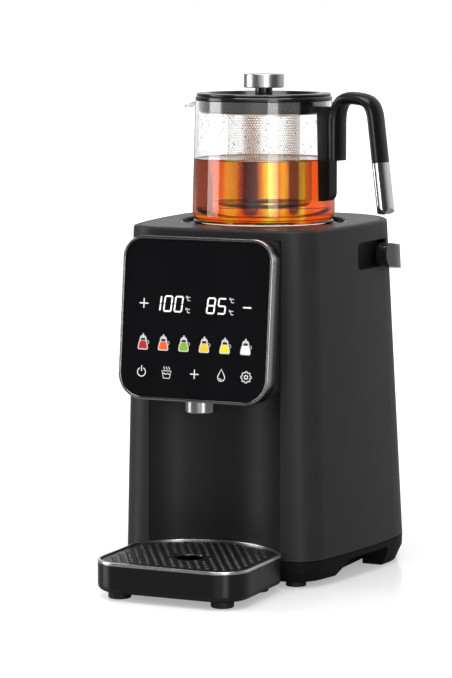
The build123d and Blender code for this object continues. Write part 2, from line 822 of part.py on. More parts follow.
with BuildPart() as water_tank:
    add(body_block(tank_bottom, bay_top - seam) & behind)
    add(hollow & within, mode=Mode.SUBTRACT)
    add(hollow & mouth, mode=Mode.SUBTRACT)
    shelf = body_block(lid_ledge - 2, lid_ledge, thin_wall - 0.1) & behind
    shelf = shelf - body_block(lid_ledge - 3, lid_ledge + 1, thin_wall + 2.5)
    add(shelf)
    boss = level_bar(valve_radius + thin_wall, tank_front, tank_front + valve_length, 0, valve_height)
    add(boss)
    hole = level_bar(valve_radius, tank_front - 1, tank_front + valve_length + 1, 0, valve_height)
    add(hole, mode=Mode.SUBTRACT)
save(water_tank.part, "water_tank")

with BuildPart() as tank_lid:
    room_front = tank_front + thin_wall + seam
    room = box_between(-reach_out, reach_out, room_front, reach_out, 0, deck_height)
    add(body_block(lid_ledge, tank_top, thin_wall + seam) & room)
    with BuildSketch(level(lid_ledge, 0, 82)):
        RectangleRounded(mouth_width, mouth_depth, 8)
    extrude(amount=2 * tank_lid_thickness, mode=Mode.SUBTRACT)
save(tank_lid.part, "tank_lid")

with BuildPart() as tank_valve:
    add(level_bar(valve_radius, tank_front + 1, tank_front + valve_length, 0, valve_height))
    socket = level_bar(spigot_radius + 0.4, 0, tank_front + spigot_reach + 1, 0, valve_height)
    add(socket, mode=Mode.SUBTRACT)
    slit = box_between(-0.2, 0.2, 0, 90, valve_height - 3, valve_height + 3)
    add(slit, mode=Mode.SUBTRACT)
save(tank_valve.part, "tank_valve")

with BuildPart() as tank_dock:
    add(level_bar(spigot_radius, bay_front - wall, tank_front + spigot_reach, 0, valve_height))
    add(level_bar(spigot_radius + 5, bay_front - wall - 3, bay_front - wall, 0, valve_height))
    add(level_bar(hose_bore, bay_front - wall - 12, bay_front - wall, 0, valve_height))
    bore = level_bar(hose_bore - 0.8, -100, 100, 0, valve_height)
    add(bore, mode=Mode.SUBTRACT)
save(tank_dock.part, "tank_dock")

with BuildPart() as tank_grip:
    with BuildSketch(beside(-2 * body_half)):
        with Locations(Location((grip_end, grip_middle, 0), (0, 0, -grip_slope))):
            length = 2 * base_rear
            corner = grip_height / 2 - 0.1
            RectangleRounded(length, grip_height, corner, align=(Align.MIN, Align.CENTER))
    extrude(amount=4 * body_half)
    band = body_block(grip_low - grip_height, grip_middle + grip_height, -grip_stand)
    add(band, mode=Mode.INTERSECT)
    add(body_block(groove_height, deck_height), mode=Mode.SUBTRACT)
    clear = bay_half + slip
    ahead = box_between(-clear, clear, -100, tank_front, 0, deck_height)
    add(ahead, mode=Mode.SUBTRACT)
    add(water_tank.part, mode=Mode.SUBTRACT)
save(tank_grip.part, "tank_grip")

# ------------------------------------------------------- parts inside the body
with BuildPart() as water_pump:
    add(round_bar(pump_radius, base_inside + 4, base_inside + 4 + pump_height, pump_x, inner_y))
    head_bottom = base_inside + 4 + pump_height
    add(round_bar(pump_radius - 4, head_bottom, head_bottom + 8, pump_x, inner_y))
    for height in (valve_height, valve_height - 20):
        with BuildSketch(beside(pump_x - pump_radius - 8)):
            with Locations((inner_y, height)):
                Circle(hose_bore)
        extrude(amount=14)
save(water_pump.part, "water_pump")

with BuildPart() as pump_mounts:
    for side in (-1, 1):
        add(round_bar(4, base_inside, base_inside + 4, pump_x + side * 11, inner_y))
        add(round_bar(4, base_inside, base_inside + 4, pump_x, inner_y + side * 11))
save(pump_mounts.part, "pump_mounts")

with BuildPart() as water_heater:
    add(round_bar(tube_radius, tube_bottom, tube_bottom + tube_height, tube_x, inner_y))
    fillet(water_heater.faces().filter_by(Plane.XY).edges(), 3)
    add(round_bar(hose_bore, tube_bottom - 10, tube_bottom + tube_height + 10, tube_x, inner_y))
save(water_heater.part, "water_heater")

with BuildPart() as heater_bracket:
    back = inner_y + tube_radius
    add(box_between(tube_x - 14, tube_x + 14, back - 8, back + 2, base_inside, tube_bottom + 100))
    add(box_between(tube_x - 14, tube_x + 14, back - 8, back + 16, base_inside, base_inside + 2))
    clamp = round_bar(tube_radius, base_inside, deck_height, tube_x, inner_y)
    add(clamp, mode=Mode.SUBTRACT)
save(heater_bracket.part, "heater_bracket")

with BuildPart() as temperature_sensor:
    middle = tube_bottom + tube_height - 20
    with BuildSketch(facing(inner_y, tube_x, middle)):
        Rectangle(8, 12)
    extrude(amount=tube_radius + 4)
    add(round_bar(tube_radius, 0, deck_height, tube_x, inner_y), mode=Mode.SUBTRACT)
save(temperature_sensor.part, "temperature_sensor")

pump_side = pump_x - pump_radius
low_run = valve_height - 20
inlet_hose_points = [
    (0, bay_front - wall - 4, valve_height),
    (0, inner_y, valve_height),
    (pump_side - 1, inner_y, valve_height),
]
feed_hose_points = [
    (pump_side - 1, inner_y, low_run),
    (tube_x, inner_y, low_run),
    (tube_x, inner_y, tube_bottom - 0.5),
]
outlet_hose_points = [
    (tube_x, inner_y, tube_bottom + tube_height + 0.5),
    (tube_x, inner_y, 228),
    (0, -outlet_distance, 228),
    (0, -outlet_distance, housing_floor + outlet_flange + 0.5),
]
with BuildPart() as inlet_hose:
    add(hose_run(inlet_hose_points))
save(inlet_hose.part, "inlet_hose")
with BuildPart() as feed_hose:
    add(hose_run(feed_hose_points))
save(feed_hose.part, "feed_hose")
with BuildPart() as outlet_hose:
    add(hose_run(outlet_hose_points))
save(outlet_hose.part, "outlet_hose")

with BuildPart() as power_board:
    back = board_y + board_thickness
    half = board_half_x + 5
    add(box_between(-half, half, board_y, back, board_low, board_high))
save(power_board.part, "power_board")

with BuildPart() as board_components:
    add(box_between(-32, -2, board_y - 20, board_y, board_low + 12, board_low + 40))
    add(box_between(12, 30, board_y - 15, board_y, board_low + 14, board_low + 34))
    for i in range(3):
        add(level_bar(5, board_y - 18, board_y, 14 * i - 20, board_high - 28))
    add(box_between(22, 36, board_y - 3, board_y, board_high - 40, board_high - 20))
save(board_components.part, "board_components")

with BuildPart() as mains_inlet:
    half = inlet_width / 2
    high = base_inside + inlet_height
    front = inlet_face - inlet_depth
    add(box_between(inlet_x - half, inlet_x + half, front, inlet_face, base_inside, high))
    recess = box_between(inlet_x - 8, inlet_x + 8, inlet_face - 13, 150, base_inside + 2.5, high - 2.5)
    add(recess, mode=Mode.SUBTRACT)
    for side in (-1, 1):
        pin_x = inlet_x + side * 4.3
        add(level_bar(1.2, inlet_face - 14, inlet_face - 3, pin_x, base_inside + inlet_height / 2))
save(mains_inlet.part, "mains_inlet")

with BuildPart() as case_screws:
    for side in (-1, 1):
        for x, y in ((front_boss_x, front_boss_y), (rear_boss_x, rear_boss_y)):
            add(round_bar(screw_radius - 0.1, foot_height, 26, side * x, y))
            add(round_bar(screw_head_radius, foot_height - 1.8, foot_height, side * x, y))
save(case_screws.part, "case_screws")


# --------------------------------------------------------------------- teapot
def in_pot(height):
    """Height above the foot of the teapot as a height above the floor."""
    return pot_foot + height


def lip_point(fall, part_way):
    """Point of the pouring lip's side view, a depth below its top face."""
    run = spout_reach - lip_start
    bend = (run**2 + spout_droop**2) / (2 * spout_droop)
    turn = part_way * asin(run / bend)
    x = lip_start + (bend - fall) * sin(turn)
    return (x, in_pot(pot_height) - bend + (bend - fall) * cos(turn))


def lip_sheet(upper, lower, root_half, tip_half):
    """Bent sheet of the pouring lip between two depths below its top face."""
    plane = upright(handle_turn + 180)
    with BuildPart() as sheet:
        with BuildSketch(plane):
            with BuildLine():
                Line((lip_inside, in_pot(pot_height) - upper), lip_point(upper, 0))
                ThreePointArc(*[lip_point(upper, part_way) for part_way in (0, 0.5, 1)])
                Line(lip_point(upper, 1), lip_point(lower, 1))
                ThreePointArc(*[lip_point(lower, part_way) for part_way in (1, 0.5, 0)])
                Line(lip_point(lower, 0), (lip_inside, in_pot(pot_height) - lower))
                Line((lip_inside, in_pot(pot_height) - lower), (lip_inside, in_pot(pot_height) - upper))
            make_face()
        extrude(amount=root_half, both=True)
        low = plane.origin + Vector(0, 0, in_pot(pot_height / 2))
        with BuildSketch(Plane(low, x_dir=plane.x_dir, z_dir=(0, 0, 1))) as plan:
            with BuildLine():
                Polyline(
                    (lip_inside - 1, -root_half),
                    (spout_reach + 1, -tip_half),
                    (spout_reach + 1, tip_half),
                    (lip_inside - 1, root_half),
                    close=True,
                )
            make_face()
            fillet(plan.vertices().sort_by(SortBy.DISTANCE)[-2:], tip_half - 0.3)
        extrude(amount=pot_height, mode=Mode.INTERSECT)
    return sheet.part


outer_points = [
    (0, 1.2),
    (50, 1.2),
    (52, 0),
    (57.5, 0),
    (60, 1.6),
    (60, 2.6),
    (pot_waist_radius, pot_waist_height),
    (pot_radius, pot_shoulder_height),
    (pot_radius, pot_shoulder_height + 6),
    (pot_rim_radius, pot_height),
    (0, pot_height),
]
hollow_points = [
    (0, pot_floor),
    (pot_radius - pot_wall - 5, pot_floor),
    (pot_radius - pot_wall - 1.2, pot_floor + 1.6),
    (pot_radius - pot_wall, pot_floor + 5),
    (pot_radius - pot_wall, pot_shoulder_height + 6),
    (pot_rim_radius - pot_wall, pot_height),
    (pot_rim_radius - pot_wall, pot_height + 5),
    (0, pot_height + 5),
]
lip_start = pot_rim_radius + spout_bend_start
lip_inside = pot_rim_radius - pot_wall - 4
pot_solid = turned([(r, in_pot(h)) for r, h in outer_points])
pot_hollow = turned([(r, in_pot(h)) for r, h in hollow_points])
with BuildPart() as pot_glass:
    add(pot_solid)
    add(lip_sheet(0, pot_wall, spout_root_half, spout_tip_radius))
    add(lip_sheet(-3, spout_groove, spout_root_half - 4, spout_tip_radius - 2), mode=Mode.SUBTRACT)
    add(pot_hollow, mode=Mode.SUBTRACT)
save(pot_glass.part, "pot_glass")

handle_plane = upright(handle_turn)


with BuildPart() as handle_post:
    inner_reach = pot_rim_radius - 6
    depth = post_outer - inner_reach
    with BuildSketch(handle_plane) as side_view:
        with Locations((inner_reach + depth / 2, in_pot((post_bottom + post_top) / 2))):
            Rectangle(depth, post_top - post_bottom)
        corners = side_view.vertices().group_by(Axis.X)[-1]
        fillet(corners.sort_by(Axis.Y)[0], 7)
        fillet(corners.sort_by(Axis.Y)[-1], 3)
    extrude(amount=post_width / 2, both=True)
    add(pot_solid, mode=Mode.SUBTRACT)
    add(pot_hollow, mode=Mode.SUBTRACT)
save(handle_post.part, "handle_post")

end_slope = (leg_outer_bottom - leg_outer_top) / (leg_shoulder - tip_bottom)
shoulder_rise = leg_shoulder - 4 - grip_bottom
leg_down = handle_plane.x_dir * end_slope - Vector(0, 0, 1)
with BuildLine(handle_plane) as arch:
    shoulder = (leg_inner, in_pot(leg_shoulder - 4))
    crown = (arch_middle, in_pot(arch_height))
    far = (leg_outer_top, in_pot(leg_shoulder))
    Spline(shoulder, crown, far, tangents=(Vector(0, 0, 1), leg_down))


def grip_section(part_way):
    """Plane square to the arch of the handle at a part of its length."""
    tangent = arch.line % part_way
    return Plane(arch.line @ part_way, x_dir=handle_plane.z_dir, z_dir=tangent)


far_plane = grip_section(1)
far_run = (leg_shoulder - tip_joint) * (1 + end_slope**2) ** 0.5
with BuildPart() as handle_grip:
    with BuildSketch(grip_section(0)):
        Ellipse(grip_width / 2, grip_thickness / 2)
    sweep(path=arch.line)
    with BuildSketch(grip_section(0)):
        Ellipse(grip_width / 2, grip_thickness / 2)
    extrude(amount=-shoulder_rise)
    with BuildSketch(far_plane):
        Ellipse(grip_width / 2, grip_thickness / 2)
    extrude(amount=far_run)
    add(handle_post.part, mode=Mode.SUBTRACT)
save(handle_grip.part, "handle_grip")

with BuildPart() as handle_tip:
    run = tip_joint - tip_bottom
    with BuildSketch(far_plane.offset(far_run)):
        Ellipse(grip_width / 2, grip_thickness / 2)
    extrude(amount=run)
    end = far_plane.offset(far_run + run)
    for across, size in ((end.x_dir, grip_width), (end.y_dir, grip_thickness)):
        with BuildSketch(Plane(end.origin, x_dir=across, z_dir=end.z_dir.cross(across))):
            with Locations((0, run)):
                RectangleRounded(size, 2 * run, min(size / 2 - 0.1, tip_radius_limit))
        extrude(amount=grip_width, both=True, mode=Mode.INTERSECT)
    add(handle_grip.part, mode=Mode.SUBTRACT)
save(handle_tip.part, "handle_tip")

# ------------------------------------------------------------- infuser and lid
collar_points = [
    (collar_opening, in_pot(pot_height - collar_skirt_drop)),
    (collar_skirt_radius - 1.0, in_pot(pot_height - collar_skirt_drop)),
    (collar_skirt_radius, in_pot(pot_height - collar_skirt_drop + 1)),
    (collar_skirt_radius, in_pot(pot_height)),
    (collar_radius - 0.6, in_pot(pot_height)),
    (collar_radius, in_pot(pot_height + 0.6)),
    (collar_radius, collar_top - 1.2),
    (collar_radius - 1.2, collar_top),
    (collar_opening, collar_top),
]
with BuildPart() as infuser_collar:
    add(turned(collar_points))
save(infuser_collar.part, "infuser_collar")

basket_top = in_pot(pot_height - collar_skirt_drop)
basket_points = [
    (0, in_pot(basket_bottom)),
    (basket_radius - 3, in_pot(basket_bottom)),
    (basket_radius, in_pot(basket_bottom + 3)),
    (basket_radius, basket_top - basket_wall),
    (collar_skirt_radius - 1.0, basket_top - basket_wall),
    (collar_skirt_radius - 1.0, basket_top),
    (basket_radius - basket_wall, basket_top),
    (basket_radius - basket_wall, in_pot(basket_bottom + 3.4)),
    (basket_radius - 3.4, in_pot(basket_bottom + basket_wall)),
    (0, in_pot(basket_bottom + basket_wall)),
]
with BuildPart() as infuser_basket:
    add(turned(basket_points))
    for row in range(basket_rows):
        height = in_pot(basket_bottom + 9 + row * basket_row_pitch)
        for i in range(basket_slots):
            turn = (i + 0.5 * (row % 2)) * 360 / basket_slots
            with BuildSketch(outward(turn)):
                with Locations((0, height)):
                    SlotOverall(basket_slot_length, 2 * basket_hole)
            extrude(amount=basket_radius + 5, mode=Mode.SUBTRACT)
save(infuser_basket.part, "infuser_basket")

dish_floor = lid_top - dish_depth
lid_points = [
    (0, dish_floor - dish_wall),
    (dish_radius - 3, dish_floor - dish_wall),
    (dish_radius + dish_wall, dish_floor - dish_wall + 4),
    (dish_radius + dish_wall, collar_top),
    (lid_radius - 0.8, collar_top),
    (lid_radius, collar_top + 0.8),
    (lid_radius, lid_top - 0.8),
    (lid_radius - 0.8, lid_top),
    (dish_radius + 1, lid_top),
    (dish_radius, lid_top - 1),
    (dish_radius - 0.4, dish_floor + 3),
    (dish_radius - 3.4, dish_floor),
    (stem_radius + 3, dish_floor),
    (stem_radius, dish_floor + 3),
    (stem_radius, knob_bottom),
    (0, knob_bottom),
]
with BuildPart() as lid_disc:
    add(turned(lid_points))
    add(round_bar(screw_radius, 0, knob_bottom + 1), mode=Mode.SUBTRACT)
save(lid_disc.part, "lid_disc")

with BuildPart() as lid_seal:
    groove_low = collar_top - 1.6
    add(round_bar(collar_opening - 0.05, groove_low - 1.4, groove_low))
    add(round_bar(dish_radius + dish_wall, 0, deck_height * 2), mode=Mode.SUBTRACT)
save(lid_seal.part, "lid_seal")

with BuildPart() as lid_knob:
    add(round_bar(knob_radius, knob_bottom, knob_bottom + knob_height))
    fillet(lid_knob.faces().sort_by(Axis.Z)[-1].edges(), knob_edge_radius)
    fillet(lid_knob.faces().sort_by(Axis.Z)[0].edges(), 0.8)
    add(round_bar(screw_radius, 0, knob_bottom + knob_height - 3), mode=Mode.SUBTRACT)
save(lid_knob.part, "lid_knob")

with BuildPart() as knob_screw:
    low = dish_floor - dish_wall
    add(round_bar(screw_radius, low, knob_bottom + knob_height - 4))
    add(round_bar(screw_head_radius, low - 1.8, low))
save(knob_screw.part, "knob_screw")
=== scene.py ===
import math
import random

import bmesh
import bpy
from bpy.props import FloatProperty, FloatVectorProperty, IntProperty, PointerProperty
from mathutils import Matrix, Vector


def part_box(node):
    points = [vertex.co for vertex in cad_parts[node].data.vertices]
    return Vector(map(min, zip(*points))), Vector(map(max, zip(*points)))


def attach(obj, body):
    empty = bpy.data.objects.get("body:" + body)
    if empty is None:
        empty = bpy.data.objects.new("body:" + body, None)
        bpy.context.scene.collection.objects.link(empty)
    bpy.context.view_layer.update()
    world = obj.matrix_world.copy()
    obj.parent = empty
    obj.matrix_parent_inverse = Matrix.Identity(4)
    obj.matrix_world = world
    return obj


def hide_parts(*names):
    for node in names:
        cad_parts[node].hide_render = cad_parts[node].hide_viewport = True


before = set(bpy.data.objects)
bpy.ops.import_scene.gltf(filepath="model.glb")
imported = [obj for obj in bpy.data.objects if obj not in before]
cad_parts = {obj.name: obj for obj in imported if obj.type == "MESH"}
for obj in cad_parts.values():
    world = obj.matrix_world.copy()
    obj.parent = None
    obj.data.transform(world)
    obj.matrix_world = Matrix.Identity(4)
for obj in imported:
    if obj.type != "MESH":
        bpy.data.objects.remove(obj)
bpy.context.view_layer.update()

bl_info = {
    "name": "Tea maker looks",
    "version": (1, 0, 0),
    "blender": (4, 5, 0),
    "location": "3D View > Sidebar > Tea maker",
    "description": "Dresses the tea maker: finishes, panel marks, tea, infuser mesh and stage",
    "category": "Object",
}

MM = 0.001

AXIS = sum(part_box("warming_plate"), Vector()) / 2  # the teapot stands on this axis
POT_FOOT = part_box("pot_glass")[0].z
NICHE_CENTRE = 152  # from the teapot's axis forward to the middle of the arc of the niche, mm
TRAY_ARC_Y = AXIS.y - NICHE_CENTRE * MM
SIGHT_LINE = Vector((0.912, 0.41, 0.0))  # level line across the pot, 24 degrees off the front


# ------------------------------------------------------------------- properties
def length_prop(name, description, mm):
    """A length for the sidebar; its default is given in millimetres."""
    return FloatProperty(
        name=name, description=description, default=mm * MM, subtype="DISTANCE", precision=5
    )


def angle_prop(name, description, degrees):
    """An angle for the sidebar; its default is given in degrees."""
    return FloatProperty(
        name=name, description=description, default=math.radians(degrees), subtype="ANGLE"
    )


def share_prop(name, description, default):
    """A share from 0 to 1 for the sidebar."""
    return FloatProperty(
        name=name, description=description, default=default, min=0, max=1, subtype="FACTOR"
    )


def colour_prop(name, description, default):
    """A colour for the sidebar."""
    return FloatVectorProperty(
        name=name, description=description, default=default, subtype="COLOR"
    )


def in_mm(group, *names):
    """Lengths of a property group in millimetres."""
    return [getattr(group, name) / MM for name in names]


# ------------------------------------------------------------ shader expressions
class Value:
    """A socket in a node tree. Sums and products of values add Math nodes."""

    def __init__(self, finish, socket):
        self.finish = finish
        self.socket = socket

    def math(self, operation, *terms):
        sockets = dict(enumerate(terms))
        return self.finish.node("ShaderNodeMath", {"operation": operation}, sockets)

    def __add__(self, other):
        return self.math("ADD", self, other)

    def __sub__(self, other):
        return self.math("SUBTRACT", self, other)

    def __rsub__(self, other):
        return self.math("SUBTRACT", other, self)

    def __mul__(self, other):
        return self.math("MULTIPLY", self, other)

    def __truediv__(self, other):
        return self.math("DIVIDE", self, other)

    def __rtruediv__(self, other):
        return self.math("DIVIDE", other, self)

    __radd__ = __add__
    __rmul__ = __mul__

    def between(self, low, high):
        """0 below low, 1 above high, smooth between them."""
        settings = {"interpolation_type": "SMOOTHSTEP"}
        return self.finish.node("ShaderNodeMapRange", settings, {0: self, 1: low, 2: high})

    def near(self, centre, reach):
        """1 at the centre, falling smoothly to 0 at a distance of reach."""
        return self.between(centre - reach, centre) * (1 - self.between(centre, centre + reach))


class Finish:
    """A material, or the world, and the nodes in it."""

    def __init__(self, name, owner=None):
        self.owner = owner or bpy.data.materials.new(name)
        self.owner.use_nodes = True
        self.tree = self.owner.node_tree
        self.tree.nodes.clear()

    def node(self, kind, settings=None, sockets=None, out=0):
        """Adds a node, makes its settings, then fills its sockets by value or by link."""
        made = self.tree.nodes.new(kind)
        for name, value in (settings or {}).items():
            setattr(made, name, value)
        for name, value in (sockets or {}).items():
            if isinstance(value, Value):
                self.tree.links.new(value.socket, made.inputs[name])
            elif value is not None:
                made.inputs[name].default_value = value
        return Value(self, made.outputs[out]) if len(made.outputs) else made

    def place(self, stretch=(1, 1, 1)):
        """Where a point lies on the object, in metres, stretched along each axis."""
        where = self.node("ShaderNodeTexCoord", out="Object")
        return self.node("ShaderNodeVectorMath", {"operation": "MULTIPLY"}, {0: where, 1: stretch})

    def across(self):
        """Millimetres to the right of the teapot's axis, along SIGHT_LINE."""
        return (self.along(SIGHT_LINE) - SIGHT_LINE.dot(AXIS)) / MM

    def along(self, direction):
        """How far a point lies along a direction, in metres."""
        pair = {0: self.place(), 1: direction}
        return self.node("ShaderNodeVectorMath", {"operation": "DOT_PRODUCT"}, pair, out="Value")

    def part(self, place, axis):
        """One coordinate of a place."""
        return self.node("ShaderNodeSeparateXYZ", {}, {0: place}, out=axis)

    def ray(self, kind):
        """1 for rays of a kind, 0 for the rest."""
        return self.node("ShaderNodeLightPath", out=f"Is {kind} Ray")

    def seen(self):
        """1 for rays from the camera, straight or through glass."""
        camera = self.ray("Camera")
        return camera.math("MAXIMUM", camera, self.ray("Transmission"))

    def noise(self, place, size, detail=2.0):
        """Cloudy value from 0 to 1 whose blotches have a size in millimetres."""
        sockets = {"Vector": place, "Scale": 1 / (size * MM), "Detail": detail}
        return self.node("ShaderNodeTexNoise", {}, sockets, out="Fac")

    def cells(self, place, size):
        """Distance to the nearest of scattered points, for grain and droplets."""
        return self.node("ShaderNodeTexVoronoi", {}, {"Vector": place, "Scale": 1 / (size * MM)})

    def blend(self, share, first, second):
        """Colour between two colours."""
        pair = {0: share, 6: tint(first), 7: tint(second)}
        return self.node("ShaderNodeMix", {"data_type": "RGBA"}, pair, out=2)

    def softened(self, radius):
        """Normal with the sharp edges of the mesh rounded off, radius in millimetres."""
        return self.node("ShaderNodeBevel", {"samples": 4}, {"Radius": radius * MM})

    def bump(self, height, depth, normal=None):
        """Normal roughened by a height from 0 to 1 that stands for a depth in millimetres."""
        sockets = {"Strength": 1.0, "Distance": depth * MM, "Height": height, "Normal": normal}
        return self.node("ShaderNodeBump", {}, sockets)

    def surface(self, sockets):
        """Ends the material with a Principled surface."""
        shader = self.node("ShaderNodeBsdfPrincipled", {}, sockets)
        self.node("ShaderNodeOutputMaterial", {}, {"Surface": shader})
        return self.owner


def tint(colour):
    """A colour or value as a socket takes it."""
    return colour if isinstance(colour, Value) else (*colour[:3], 1.0)


def scaled(colour, factor):
    """A colour made darker or lighter."""
    return tuple(min(1.0, c * factor) for c in colour[:3])


# ---------------------------------------------------------------------- finishes
def moulded(name, colour, roughness, depth=0.012, level=0.25, coat=0.0):
    """Moulded plastic: fine grain, a cloudy gloss, drawn streaks in the gloss and rounded arrises.
    """
    f = Finish(name)
    place = f.place()
    fine = f.noise(place, 0.35, detail=2)
    cloud = f.noise(place, 38, detail=3)
    drawn = f.noise(f.place((1, 1, 0.12)), 9, detail=2)
    shade = f.blend(cloud * 0.6 + fine * 0.4, scaled(colour, 0.8), scaled(colour, 1.25))
    gloss = roughness + (cloud - 0.5) * 0.10 + (drawn - 0.5) * 0.06 + (fine - 0.5) * 0.05
    return f.surface(
        {
            "Base Color": shade,
            "Roughness": gloss,
            "Specular IOR Level": level,
            "Coat Weight": coat,
            "Coat Roughness": 0.08,
            "Normal": f.bump(fine, depth, f.softened(0.5)),
        }
    )


def polished(name, colour, roughness, edge=0.3):
    """Polished or plated metal with faint wiping marks."""
    f = Finish(name)
    wipe = f.noise(f.place((1, 1, 0.2)), 3, detail=3)
    spot = f.noise(f.place(), 11, detail=2)
    return f.surface(
        {
            "Base Color": f.blend(spot, scaled(colour, 0.94), scaled(colour, 1.04)),
            "Metallic": 1.0,
            "Roughness": roughness + (wipe - 0.5) * 0.05,
            "Normal": f.bump(wipe, 0.001, f.softened(edge)),
        }
    )


def brushed(name, colour, roughness=0.32):
    """Brushed steel with fine lines round the piece."""
    f = Finish(name)
    lines = f.noise(f.place((0.02, 0.02, 1)), 0.25, detail=3)
    cloud = f.noise(f.place(), 24, detail=2)
    return f.surface(
        {
            "Base Color": f.blend(lines, scaled(colour, 0.8), scaled(colour, 1.1)),
            "Metallic": 1.0,
            "Roughness": roughness + (lines - 0.5) * 0.2 + (cloud - 0.5) * 0.08,
            "Normal": f.bump(lines, 0.004, f.softened(0.2)),
        }
    )


def mesh_with_painted_shade(name, colour):
    """Fine steel mesh that lets light through, with denser, darker bands of painted shade down it.
    """
    f = Finish(name)
    lines = f.noise(f.place((1, 1, 0.05)), 1.2, detail=2)
    fine = f.noise(f.place(), 0.7, detail=2)
    across = f.across()
    # painted shade: denser, darker bands set along the sight line where the tea has its painted
    # shade bands
    painted_shade_band = across.near(-10, 10) * 0.9 + across.near(25, 9) * 0.4
    return f.surface(
        {
            "Base Color": f.blend(lines, scaled(colour, 0.7), scaled(colour, 1.3)),
            "Metallic": 0.6,
            "Roughness": 0.35 + (lines - 0.5) * 0.2,
            "Alpha": 0.10 + painted_shade_band * (0.45 + fine * 0.5),
            "Normal": f.bump(lines, 0.01),
        }
    )


def enamelled(name, colour, roughness):
    """Baked coat with a fine orange peel and lighter specks."""
    f = Finish(name)
    place = f.place()
    peel = f.noise(place, 0.9, detail=2)
    speck = f.cells(place, 1.3).between(0.16, 0.05)
    base = f.blend(f.noise(place, 22), scaled(colour, 0.85), scaled(colour, 1.2))
    return f.surface(
        {
            "Base Color": f.blend(speck * 0.5, base, scaled(colour, 3.0)),
            "Roughness": roughness + (peel - 0.5) * 0.14,
            "Normal": f.bump(peel, 0.02, f.softened(0.3)),
        }
    )


def rubber(name, colour, roughness=0.62):
    """Rubber or silicone: matt, with a fine tooth and a dusty bloom."""
    f = Finish(name)
    place = f.place()
    tooth = f.noise(place, 0.5, detail=3)
    bloom = f.noise(place, 14, detail=3)
    return f.surface(
        {
            "Base Color": f.blend(bloom, scaled(colour, 0.8), scaled(colour, 1.3)),
            "Roughness": roughness + (tooth - 0.5) * 0.2,
            "Normal": f.bump(tooth, 0.03, f.softened(0.4)),
        }
    )


def circuit(name, colour):
    """Circuit board: lacquer over fine tracks."""
    f = Finish(name)
    track = f.noise(f.place((0.2, 1, 1)), 1.4, detail=1).between(0.48, 0.52)
    return f.surface(
        {
            "Base Color": f.blend(track, scaled(colour, 0.7), scaled(colour, 1.4)),
            "Roughness": 0.35 + track * 0.1,
            "Normal": f.bump(track, 0.03),
        }
    )


def dark_glass(name, colour):
    """Black panel glass: deep gloss with faint wiping marks."""
    f = Finish(name)
    smear = f.noise(f.place((1, 1, 0.35)), 21, detail=4)
    return f.surface(
        {
            "Base Color": f.blend(smear, scaled(colour, 0.8), scaled(colour, 1.3)),
            "Roughness": 0.10 + (smear - 0.5) * 0.06,
            "Specular IOR Level": 0.12,
            "Normal": f.softened(0.25),
        }
    )


def clear_glass(name):
    """Blown glass: clear, with the slow waves of a hand-finished pot, and a painted dark outline
    where the glass is seen edge-on.
    """
    f = Finish(name)
    wave = f.noise(f.place((1, 1, 0.3)), 26, detail=1)
    mist = f.noise(f.place(), 5, detail=3)
    # painted shade: the base colour turns near black where the glass is seen edge-on, standing for
    # dark surroundings refracted at the pot's outline
    edge = f.node("ShaderNodeLayerWeight", {}, {"Blend": 0.5}, out="Facing").between(0.74, 0.95)
    clear = f.blend(mist, (0.965, 0.975, 0.975), (0.99, 0.995, 0.995))
    return f.surface(
        {
            "Base Color": f.blend(edge, clear, (0.02, 0.02, 0.02)),
            "Roughness": 0.004 + mist * 0.012,
            "IOR": 1.46,
            "Transmission Weight": 1.0,
            "Normal": f.bump(wave, 0.25),
        }
    )


# stripes painted on the tea, painted highlight streaks and painted shade bands: place across the
# pot and reach to each side in mm, and share
PAINTED_HIGHLIGHT_STREAKS = ((-28, 8, 2.0), (4, 8, 1.0), (16, 5, 1.0), (31, 4, 1.0))
PAINTED_SHADE_BANDS = ((-51, 12, 2.0), (-12, 11, 2.0), (24, 8, 1.6), (57, 9, 1.0))


def brewed(name, colour, deep, gold):
    """Tea: red amber with painted shade bands for the dark basket and surroundings seen through it,
    and golden painted highlight streaks where light gathers in the pot.
    """
    f = Finish(name)
    swirl = f.noise(f.place((1, 1, 0.2)), 15, detail=2)
    across = f.across() + (swirl - 0.5) * 6
    # painted light: the streaks and bands fade near the pot's foot
    foot = 1 - f.part(f.place(), "Z").between(POT_FOOT + 8 * MM, POT_FOOT + 15 * MM)
    # the painted shade bands are full on the front half of the tea, towards the camera, and faint
    # on the rear half
    ahead = 1 - f.part(f.place(), "Y").between(AXIS.y - 6 * MM, AXIS.y + 6 * MM)
    # light holds the painted highlight streaks, dark the painted shade bands
    light, dark = (
        sum(across.near(centre, reach) * share for centre, reach, share in stripes)
        for stripes in (PAINTED_HIGHLIGHT_STREAKS, PAINTED_SHADE_BANDS)
    )
    amber = f.blend(light * (1 - foot * 0.5), colour, gold)
    shaded = dark * (1 - foot * 0.8) * (0.15 + ahead * 0.85)
    return f.surface(
        {
            "Base Color": f.blend(shaded, amber, deep),
            "Roughness": 0.0,
            "IOR": 1.333,
            "Transmission Weight": 1.0,
        }
    )


def droplet_glass(name):
    """Drops of water, their clear colour greyed as painted shade so they show as dark specks."""
    f = Finish(name)
    mist = f.noise(f.place(), 2, detail=1)
    return f.surface(
        {
            # painted shade: a grey colour darkens the clear water
            "Base Color": f.blend(mist, (0.25, 0.24, 0.23), (0.6, 0.58, 0.56)),
            "Roughness": 0.01 + mist * 0.01,
            "IOR": 1.33,
            "Transmission Weight": 1.0,
        }
    )


def printed(name, colour, glow):
    """Screen print lit from behind, with a slightly uneven ink."""
    f = Finish(name)
    ink = f.noise(f.place(), 0.8, detail=2)
    uneven = f.blend(ink, scaled(colour, 0.86), colour)
    return f.surface(
        {
            "Base Color": uneven,
            "Roughness": 0.45 + (ink - 0.5) * 0.1,
            "Emission Color": uneven,
            "Emission Strength": glow,
        }
    )


